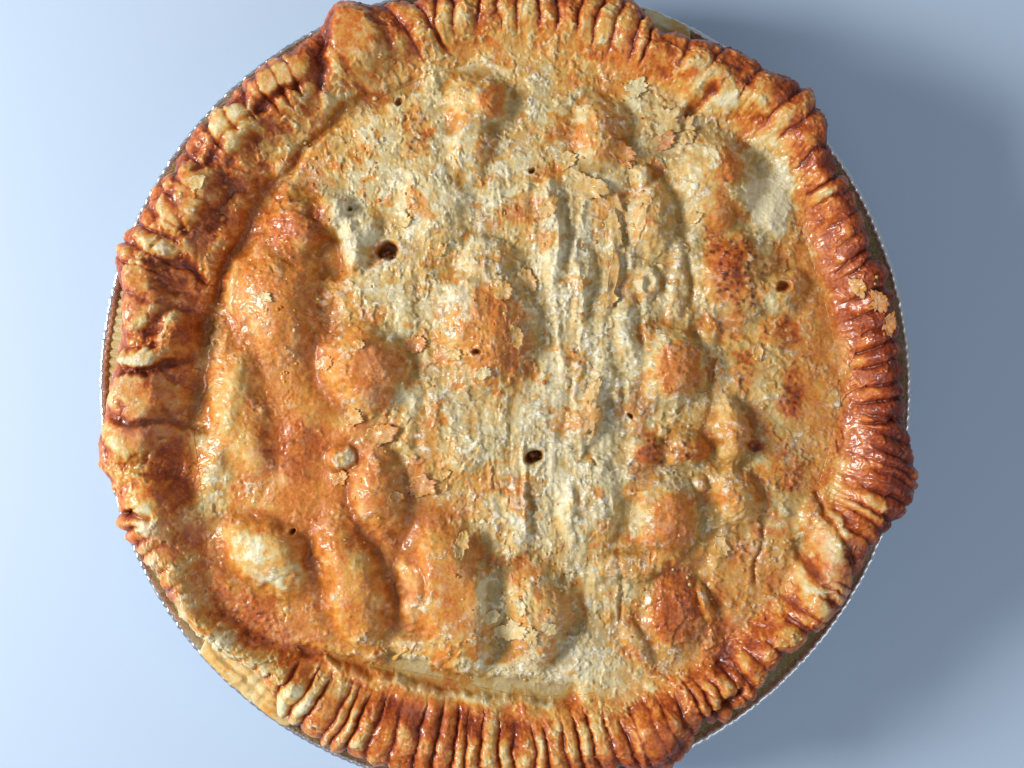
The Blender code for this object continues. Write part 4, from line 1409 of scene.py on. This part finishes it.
@dataclass
class LooseFlakes(Topping):
    """Thin leaves of pastry that lie on the crust."""

    thickness: float = 0.3
    rings: int = 7
    spokes: int = 60

    def build(self, flakes: tuple[Flake, ...]) -> None:
        """Make all the leaves as one piece."""
        shape = bmesh.new()
        browning = shape.verts.layers.float.new(Paint.BROWNING.value)
        pallor = shape.verts.layers.float.new(Paint.PALLOR.value)
        for number, flake in enumerate(flakes):
            for vertex in self._leaf(shape, flake, number):
                vertex[browning] = flake.browning - 0.1
                vertex[pallor] = 0.25
        bmesh.ops.recalc_face_normals(shape, faces=shape.faces)
        self._settle("loose_flakes", shape)

    def _leaf(self, shape: bmesh.types.BMesh, flake: Flake, number: int) -> list[bmesh.types.BMVert]:
        """Add one ragged, curled leaf that follows the crust under it.

        Args:
            shape: The bmesh that it is added to.
            flake: The leaf's place and size.
            number: Its number, which decides its outline.

        Returns:
            Its vertices.
        """
        turn = np.arange(self.spokes) * math.tau / self.spokes
        ring_x, ring_y = 3.0 * np.cos(turn), 3.0 * np.sin(turn)
        outline = 1.0 + 0.5 * Noise(200 + number).fractal(ring_x, ring_y, 2.0, 4, 0.85)
        for angle, reach in flake.arms:
            away = turn_between(np.degrees(turn), angle)
            outline = outline + reach * (np.exp(-((away / 13.0) ** 2)) + 0.1 * np.exp(-((away / 40.0) ** 2)))
        share = np.repeat(np.linspace(0.0, 1.0, self.rings + 1)[1:], self.spokes)
        along = share * np.tile(outline * np.cos(turn), self.rings) * flake.half_a
        across = share * np.tile(outline * np.sin(turn), self.rings) * flake.half_b
        along, across = np.append(along, 0.0), np.append(across, 0.0)
        share = np.append(share, 0.0)
        cos_turn, sin_turn = facing(flake.turn)
        x = flake.x + along * cos_turn - across * sin_turn
        y = flake.y + along * sin_turn + across * cos_turn
        under = self.chart.top(x, y)
        smoothed = 0.45 * under + 0.55 * float(np.percentile(under, 70))
        wave = 0.25 * Noise(300 + number).plain(x, y, 2.2)
        level = np.maximum(smoothed + wave, under) + flake.lift * 0.3 + 0.16 * (x - flake.x)
        curled = 0.5 + 0.5 * Noise(400 + number).plain(x, y, 4.0)
        level = level + 0.8 * flake.curl * share**3 * curled
        leaf = [shape.verts.new(Vector(place) * MM) for place in zip(x, y, level + self.base_level)]
        faces = [shape.faces.new((leaf[-1], leaf[spoke], leaf[(spoke + 1) % self.spokes]))
                 for spoke in range(self.spokes)]
        for ring in range(self.rings - 1):
            for spoke in range(self.spokes):
                low, high = ring * self.spokes, (ring + 1) * self.spokes
                beside = (spoke + 1) % self.spokes
                faces.append(shape.faces.new((leaf[low + spoke], leaf[high + spoke], leaf[high + beside],
                                              leaf[low + beside])))
        shape.normal_update()
        made = bmesh.ops.solidify(shape, geom=faces, thickness=self.thickness * MM)["geom"]
        return leaf + [item for item in made if isinstance(item, bmesh.types.BMVert)]


@dataclass
class Crumbs(Topping):
    """Small crumbs of pastry, strewn over the crust."""

    count: int = 420
    seed: int = 7

    def build(self) -> None:
        """Make all the crumbs as one piece."""
        rng = np.random.default_rng(self.seed)
        heaps = np.array(CRUMB_HEAPS)
        pick = heaps[rng.integers(0, len(heaps), self.count)]
        x = pick[:, 0] + rng.normal(0.0, 1.0, self.count) * pick[:, 2]
        y = pick[:, 1] + rng.normal(0.0, 1.0, self.count) * pick[:, 2]
        kept = self.chart.sample(self.chart.across, x, y) < 0.75
        x, y = x[kept], y[kept]
        level = self.chart.top(x, y) + self.base_level
        size = rng.uniform(0.25, 0.75, len(x)) ** 1.3
        shape = bmesh.new()
        browning = shape.verts.layers.float.new(Paint.BROWNING.value)
        for number in range(len(x)):
            made = bmesh.ops.create_icosphere(shape, subdivisions=1, radius=1.0)["verts"]
            squash = rng.uniform(0.6, 1.4, 3) * size[number]
            tone = rng.uniform(0.1, 0.6)
            for vertex in made:
                vertex.co = Vector((x[number] + vertex.co.x * squash[0], y[number] + vertex.co.y * squash[1],
                                    level[number] + vertex.co.z * squash[2] * 0.7)) * MM
                vertex[browning] = tone
        self._settle("crumbs", shape)


@dataclass
class VentFilling(Topping):
    """The bits of vegetable and sauce that show in the vents."""

    bits: int = 7
    seed: int = 3

    def build(self) -> None:
        """Make the bits in every vent as one piece."""
        rng = np.random.default_rng(self.seed)
        shape = bmesh.new()
        for vent in VENTS:
            floor = float(self.chart.top(np.array([vent.x]), np.array([vent.y]))[0])
            for _ in range(self.bits):
                x = vent.x + rng.uniform(-0.7, 0.7) * vent.half_a
                y = vent.y + rng.uniform(-0.7, 0.7) * vent.half_b
                size = rng.uniform(0.6, 1.1)
                made = bmesh.ops.create_icosphere(shape, subdivisions=2, radius=size)["verts"]
                for vertex in made:
                    vertex.co = (vertex.co + Vector((x, y, floor + 0.9 + self.base_level))) * MM
        self._settle("vent_filling", shape)


@dataclass
class DoughStrand(Topping):
    """The thin strand of dough that bridges the crevice between the lid and the rim."""

    points: tuple[tuple[float, float], ...] = ((-31.6, -76.2), (-29.6, -74.2), (-27.0, -72.4))
    half_width: float = 0.55
    sides: int = 10

    def build(self) -> None:
        """Make the strand as a rounded bar that sinks into the crust at both ends."""
        shape = bmesh.new()
        steps = 14
        line = np.linspace(0.0, 1.0, steps + 1)
        x = np.interp(line, (0.0, 0.5, 1.0), [point[0] for point in self.points])
        y = np.interp(line, (0.0, 0.5, 1.0), [point[1] for point in self.points])
        level = self.chart.top(x, y)
        level = level[0] + (level[-1] - level[0]) * line + 0.7 * np.sin(math.pi * line) - 0.1
        direction = Vector((x[-1] - x[0], y[-1] - y[0], 0.0)).normalized()
        beside = Vector((-direction.y, direction.x, 0.0))
        loops = []
        for at_x, at_y, at_z, share in zip(x, y, level + self.base_level, line):
            half = self.half_width * (0.8 + 0.4 * math.sin(9.0 * share))
            turns = [side * math.tau / self.sides for side in range(self.sides)]
            loops.append([shape.verts.new((Vector((at_x, at_y, at_z)) + beside * half * math.cos(turn)
                                           + Vector((0.0, 0.0, 0.6 * half * math.sin(turn)))) * MM)
                          for turn in turns])
        for first, second in zip(loops, loops[1:]):
            for side in range(self.sides):
                beyond = (side + 1) % self.sides
                shape.faces.new((first[side], first[beyond], second[beyond], second[side]))
        for end in (loops[0], loops[-1]):
            shape.faces.new(end)
        bmesh.ops.recalc_face_normals(shape, faces=shape.faces)
        browning = shape.verts.layers.float.new(Paint.BROWNING.value)
        for vertex in shape.verts:
            vertex[browning] = 0.3
        self._settle("dough_strand", shape)


# ---------------------------------------------------------------- shader maths


class Number:
    """A shader value. Arithmetic on it adds Math nodes."""

    def __init__(self, board: "NodeBoard", socket: bpy.types.NodeSocket) -> None:
        """Wrap one output socket of the board's tree."""
        self.board = board
        self.socket = socket

    def _with(self, operation: str, *others: "Number | float") -> "Number":
        """Return a Math node's result on this value and others."""
        return self.board.maths(operation, self, *others)

    def __add__(self, other: "Number | float") -> "Number":
        """Return the sum."""
        return self._with("ADD", other)

    __radd__ = __add__

    def __sub__(self, other: "Number | float") -> "Number":
        """Return the difference."""
        return self._with("SUBTRACT", other)

    def __rsub__(self, other: float) -> "Number":
        """Return a plain number less this value."""
        return self.board.maths("SUBTRACT", other, self)

    def __mul__(self, other: "Number | float") -> "Number":
        """Return the product."""
        return self._with("MULTIPLY", other)

    __rmul__ = __mul__

    def clamped(self) -> "Number":
        """Return the value kept between 0 and 1."""
        return self.board.add("ShaderNodeClamp", {}, {"Value": self})

    def step(self, low: float, high: float) -> "Number":
        """Return a soft step of the value, from 0 at low to 1 at high."""
        return self.board.add("ShaderNodeMapRange", {"interpolation_type": "SMOOTHSTEP"},
                              {"Value": self, "From Min": low, "From Max": high})


class NodeBoard:
    """One material's node tree, with short ways to add to it."""

    def __init__(self, name: str) -> None:
        """Start a material that has a shader and an output."""
        self.material = bpy.data.materials.new(name)
        self.material.use_nodes = True
        self.tree = self.material.node_tree
        self.shader = self.tree.nodes["Principled BSDF"]
        self._place: bpy.types.NodeSocket | None = None

    def add(self, kind: str, settings: dict, inputs: dict, output: int | str = 0) -> Number:
        """Add one node.

        Args:
            kind: The node's type.
            settings: Its own settings. The key "stops" sets a colour ramp's.
            inputs: Values or links for its sockets, by name or index.
            output: The output to return.

        Returns:
            That output.
        """
        node = self.tree.nodes.new(kind)
        for key, value in settings.items():
            if key == "stops":
                self._set_stops(node.color_ramp, value)
            else:
                setattr(node, key, value)
        for key, value in inputs.items():
            self.feed(node.inputs[key], value)
        return Number(self, node.outputs[output])

    @staticmethod
    def _set_stops(ramp: bpy.types.ColorRamp, stops: tuple) -> None:
        """Give a ramp its stops, each a place and a colour."""
        while len(ramp.elements) < len(stops):
            ramp.elements.new(1.0)
        for element, (place, colour) in zip(ramp.elements, stops):
            element.position = place
            element.color = (*colour, 1.0)

    def feed(self, socket: bpy.types.NodeSocket, value: object) -> None:
        """Link a value to a socket, or set the socket to it."""
        if isinstance(value, Number):
            self.tree.links.new(value.socket, socket)
        else:
            socket.default_value = value

    def maths(self, operation: str, *values: Number | float) -> Number:
        """Return a Math node's result."""
        return self.add("ShaderNodeMath", {"operation": operation}, dict(enumerate(values)))

    def place(self) -> Number:
        """Return the place on the object, in metres."""
        if self._place is None:
            self._place = self.tree.nodes.new("ShaderNodeTexCoord").outputs["Object"]
        return Number(self, self._place)

    def attribute(self, name: str) -> Number:
        """Return a number that the mesh carries."""
        return self.add("ShaderNodeAttribute", {"attribute_name": name}, {}, "Fac")

    def noise(self, size: float, detail: float = 3.0, roughness: float = 0.55,
              stretch: tuple | None = None) -> Number:
        """Return noise from 0 to 1 whose swellings have this size in millimetres.

        Args:
            size: The size of a swelling.
            detail: How many finer layers it has.
            roughness: The strength of those layers.
            stretch: Scales along X, Y and Z, where the noise isn't even.

        Returns:
            The noise.
        """
        where = self.place()
        if stretch is not None:
            where = self.add("ShaderNodeMapping", {}, {"Vector": where, "Scale": stretch})
        inputs = {"Vector": where, "Scale": 1.0 / (size * MM), "Detail": detail, "Roughness": roughness}
        return self.add("ShaderNodeTexNoise", {"noise_dimensions": "3D"}, inputs)

    def cells(self, size: float) -> Number:
        """Return the distance to the nearest of scattered points this far apart, in millimetres."""
        return self.add("ShaderNodeTexVoronoi", {"feature": "F1"},
                        {"Vector": self.place(), "Scale": 1.0 / (size * MM)})

    def ramp(self, factor: Number, stops: tuple) -> Number:
        """Return a colour that a value picks from a ramp."""
        return self.add("ShaderNodeValToRGB", {"stops": stops}, {"Fac": factor})

    def blend(self, factor: Number | float, first: object, second: object, mode: str = "MIX") -> Number:
        """Return two colours mixed.

        Args:
            factor: The second colour's share.
            first: The first colour.
            second: The second colour.
            mode: How they mix.

        Returns:
            The mixed colour.
        """
        node = self.tree.nodes.new("ShaderNodeMix")
        node.data_type = "RGBA"
        node.blend_type = mode
        node.clamp_factor = True
        for index, value in ((0, factor), (6, first), (7, second)):
            self.feed(node.inputs[index], (*value, 1.0) if isinstance(value, tuple) else value)
        return Number(self, node.outputs[2])

    def bump(self, height: Number, depth: float, strength: float = 1.0,
             under: Number | None = None) -> Number:
        """Return a normal that a height from 0 to 1 pushes.

        Args:
            height: The height.
            depth: What a height of 1 stands for, in millimetres.
            strength: How much of it shows.
            under: A normal that it adds to.

        Returns:
            The pushed normal.
        """
        inputs = {"Height": height, "Distance": depth * MM, "Strength": strength}
        if under is not None:
            inputs["Normal"] = under
        return self.add("ShaderNodeBump", {}, inputs)

    def finish(self, **sockets: object) -> bpy.types.Material:
        """Set the shader's sockets, whose names have _ for a space, and return the material."""
        for name, value in sockets.items():
            self.feed(self.shader.inputs[name.replace("_", " ")], value)
        return self.material


# ---------------------------------------------------------------- finishes

BAKING_STOPS = (
    (0.00, (0.80, 0.70, 0.45)),
    (0.12, (0.70, 0.55, 0.26)),
    (0.26, (0.69, 0.41, 0.11)),
    (0.40, (0.68, 0.29, 0.050)),
    (0.54, (0.60, 0.165, 0.022)),
    (0.68, (0.42, 0.080, 0.010)),
    (0.82, (0.24, 0.032, 0.006)),
    (1.00, (0.09, 0.012, 0.004)),
)


@dataclass(frozen=True)
class CrustFinish:
    """Baked, glazed and flaky pastry, with painted shade in its hollows."""

    name: str = "golden_flaky_crust"
    dry: tuple[float, float, float] = (0.92, 0.86, 0.70)
    rose: tuple[float, float, float] = (0.72, 0.36, 0.22)
    burnt: tuple[float, float, float] = (0.10, 0.018, 0.006)
    # the tint that the painted shade in hollows multiplies the colour by
    shade_tint: tuple[float, float, float] = (0.50, 0.40, 0.23)
    coat: float = 0.55

    def make(self) -> bpy.types.Material:
        """Build the material, which reads the paints that the map left on the mesh."""
        board = NodeBoard(self.name)
        coarse = board.noise(3.2, 4.0, 0.66)
        fine = board.noise(0.8, 3.0, 0.62)
        grains = board.cells(0.8)
        baked = board.attribute(Paint.BROWNING.value)
        unevenness = (coarse - 0.5) * 0.5 + (fine - 0.5) * 0.42 + (0.45 - grains) * 0.14
        browning = baked + unevenness * 0.62
        colour = board.ramp(browning.clamped(), BAKING_STOPS)
        rose = board.attribute(Paint.ROSE.value) * board.noise(5.0, 2.0).step(0.35, 0.65) * 0.5
        colour = board.blend(rose.clamped(), colour, self.rose)
        flaky = board.noise(2.0, 6.0, 0.74).step(0.46, 0.54)
        pallor = board.attribute(Paint.PALLOR.value) * flaky
        colour = board.blend((pallor * 0.8).clamped(), colour, self.dry)
        # Painted shade: the hollow paint multiplies the colour by a dull tint, darkening creases and
        # hollows.
        hollow = board.attribute(Paint.PAINTED_SHADE.value)
        colour = board.blend((hollow * 0.75).clamped(), colour, self.shade_tint, "MULTIPLY")
        char = board.attribute(Paint.CHAR.value) * board.noise(1.1, 3.0, 0.7).step(0.3, 0.5)
        colour = board.blend((char * 0.9).clamped(), colour, self.burnt)
        roughness = (0.42 + (coarse - 0.5) * 0.5 + pallor * 0.3).clamped()
        wet = board.noise(3.0, 3.0, 0.6).step(0.38, 0.6) * (baked.step(0.1, 0.45) * 0.6 + 0.4) * self.coat
        normal = board.bump(board.noise(1.2, 5.0, 0.68), 0.16, 0.8)
        normal = board.bump(grains, 0.08, 0.5, normal)
        normal = board.bump(fine, 0.11, 0.7, normal)
        normal = board.bump(pallor, 0.22, 0.8, normal)
        return board.finish(Base_Color=colour, Roughness=roughness, Coat_Weight=wet, Coat_Roughness=0.13,
                            Normal=normal, Subsurface_Weight=0.08, Subsurface_Radius=(1.0, 0.45, 0.2),
                            Subsurface_Scale=0.0012, Specular_IOR_Level=0.35)


@dataclass(frozen=True)
class DoughFinish:
    """Pale, matt, layered pastry at the edge of the bottom crust."""

    name: str = "layered_dough"

    def make(self) -> bpy.types.Material:
        """Build the material."""
        board = NodeBoard(self.name)
        layers = board.noise(1.4, 3.0, 0.6, (0.25, 0.25, 2.2))
        blotch = board.noise(9.0, 3.0, 0.6)
        fine = board.noise(1.1, 4.0, 0.7)
        baked = (0.14 + (blotch - 0.5) * 0.8 + (layers - 0.5) * 0.4 + (fine - 0.5) * 0.6).clamped()
        colour = board.ramp(baked, BAKING_STOPS)
        normal = board.bump(layers, 0.5, 0.8)
        normal = board.bump(fine, 0.25, 0.8, normal)
        return board.finish(Base_Color=colour, Roughness=0.62, Normal=normal)


@dataclass(frozen=True)
class FillingFinish:
    """Dark, wet vegetables and sauce."""

    name: str = "vegetable_filling"

    def make(self) -> bpy.types.Material:
        """Build the material."""
        board = NodeBoard(self.name)
        colour = board.ramp(board.noise(2.2, 2.0), ((0.3, (0.03, 0.008, 0.004)), (0.5, (0.16, 0.05, 0.02)),
                                                     (0.7, (0.34, 0.13, 0.04))))
        return board.finish(Base_Color=colour, Roughness=0.3)


@dataclass(frozen=True)
class FoilFinish:
    """Thin bright foil, a little crushed and stained by the oven."""

    name: str = "crushed_foil"

    def make(self) -> bpy.types.Material:
        """Build the material."""
        board = NodeBoard(self.name)
        crush = board.noise(3.2, 4.0, 0.65)
        scuffs = board.noise(0.8, 2.0, 0.5, (1.0, 1.0, 0.15))
        stain = board.noise(24.0, 3.0, 0.6).step(0.56, 0.72)
        colour = board.blend(stain * 0.35, (0.80, 0.81, 0.83), (0.50, 0.38, 0.25))
        roughness = (0.2 + scuffs * 0.16 + stain * 0.15).clamped()
        normal = board.bump(crush, 0.3, 0.35)
        normal = board.bump(scuffs, 0.04, 0.4, normal)
        return board.finish(Base_Color=colour, Roughness=roughness, Metallic=1.0, Normal=normal)


@dataclass(frozen=True)
class FloorFinish:
    """A plain pale table."""

    name: str = "pale_table"

    def make(self) -> bpy.types.Material:
        """Build the material."""
        board = NodeBoard(self.name)
        return board.finish(Base_Color=(0.50, 0.62, 0.79, 1.0), Roughness=0.5)


# ---------------------------------------------------------------- the studio


@dataclass
class Studio:
    """A pale floor, soft light from the left and a camera straight above."""

    rim_level: float
    frame_width: float = 288.8
    camera_height: float = 430.0
    centre: tuple[float, float] = (1.87, 1.08)
    sensor: float = 36.0
    floor_half: float = 2500.0
    sky_colour: tuple[float, float, float] = (0.86, 0.92, 1.0)
    sky_strength: float = 0.27

    def build(self) -> None:
        """Make the floor, the lights, the sky and the camera."""
        self._floor()
        self._lamp("key", (-700.0, 20.0, 480.0), 260.0, 8.4, (1.0, 0.985, 0.95))
        self._lamp("fill", (260.0, -300.0, 520.0), 420.0, 0.6, (0.86, 0.93, 1.0))
        world = bpy.data.worlds.new("soft_sky")
        world.use_nodes = True
        sky = world.node_tree.nodes["Background"].inputs
        sky["Color"].default_value = (*self.sky_colour, 1.0)
        sky["Strength"].default_value = self.sky_strength
        bpy.context.scene.world = world
        bpy.context.scene.view_settings.view_transform = "Standard"
        self._camera()

    def _floor(self) -> None:
        """Make the floor under the pie."""
        shape = bmesh.new()
        bmesh.ops.create_grid(shape, x_segments=1, y_segments=1, size=self.floor_half * MM)
        floor = new_object("floor", shape, FloorFinish().make())

    def _lamp(self, name: str, place: tuple, size: float, power: float, colour: tuple) -> None:
        """Make one soft square lamp that looks at the pie.

        Args:
            name: The lamp's name.
            place: Where it stands, in millimetres.
            size: The length of its side, in millimetres.
            power: Its power in watts.
            colour: Its colour.
        """
        data = bpy.data.lights.new(name, "AREA")
        data.size = size * MM
        data.energy = power
        data.color = colour
        lamp = bpy.data.objects.new(name, data)
        lamp.location = Vector(place) * MM
        lamp.rotation_euler = (-lamp.location).to_track_quat("-Z", "Y").to_euler()
        bpy.context.scene.collection.objects.link(lamp)

    def _camera(self) -> None:
        """Make the camera, which looks straight down."""
        data = bpy.data.cameras.new("camera")
        data.sensor_width = self.sensor
        data.lens = self.sensor * self.camera_height / self.frame_width
        camera = bpy.data.objects.new("camera", data)
        camera.location = Vector((*self.centre, self.rim_level + self.camera_height)) * MM
        camera.rotation_euler = (0.0, 0.0, 0.0)
        bpy.context.scene.collection.objects.link(camera)
        bpy.context.scene.camera = camera


# ---------------------------------------------------------------- the pie


def main() -> None:
    """Build the pie and the studio."""
    _, tin_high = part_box("foil_tin")
    crust_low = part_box("top_crust")[0].z / MM
    bottom_low, bottom_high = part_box("bottom_crust")
    form = CrustForm()
    chart = CrustMap(form)
    LOG.info("worked out the crust's map")
    crust = CrustFinish().make()
    CrustLid(form, chart, crust_low, crust).build()
    CrustRim(form, chart, crust_low, crust).build()
    BottomCrust(form, bottom_low.z / MM, bottom_high.z / MM, tin_high.z / MM).build(DoughFinish().make())
    FlutedTin(tin_high.x / MM, tin_high.z / MM).build(FoilFinish().make())
    LooseFlakes(chart, crust_low, crust).build(FLAKES)
    Crumbs(chart, crust_low, crust).build()
    DoughStrand(chart, crust_low, crust).build()
    VentFilling(chart, crust_low, FillingFinish().make()).build()
    Studio(tin_high.z / MM).build()


if __name__ == "__main__":
    main()
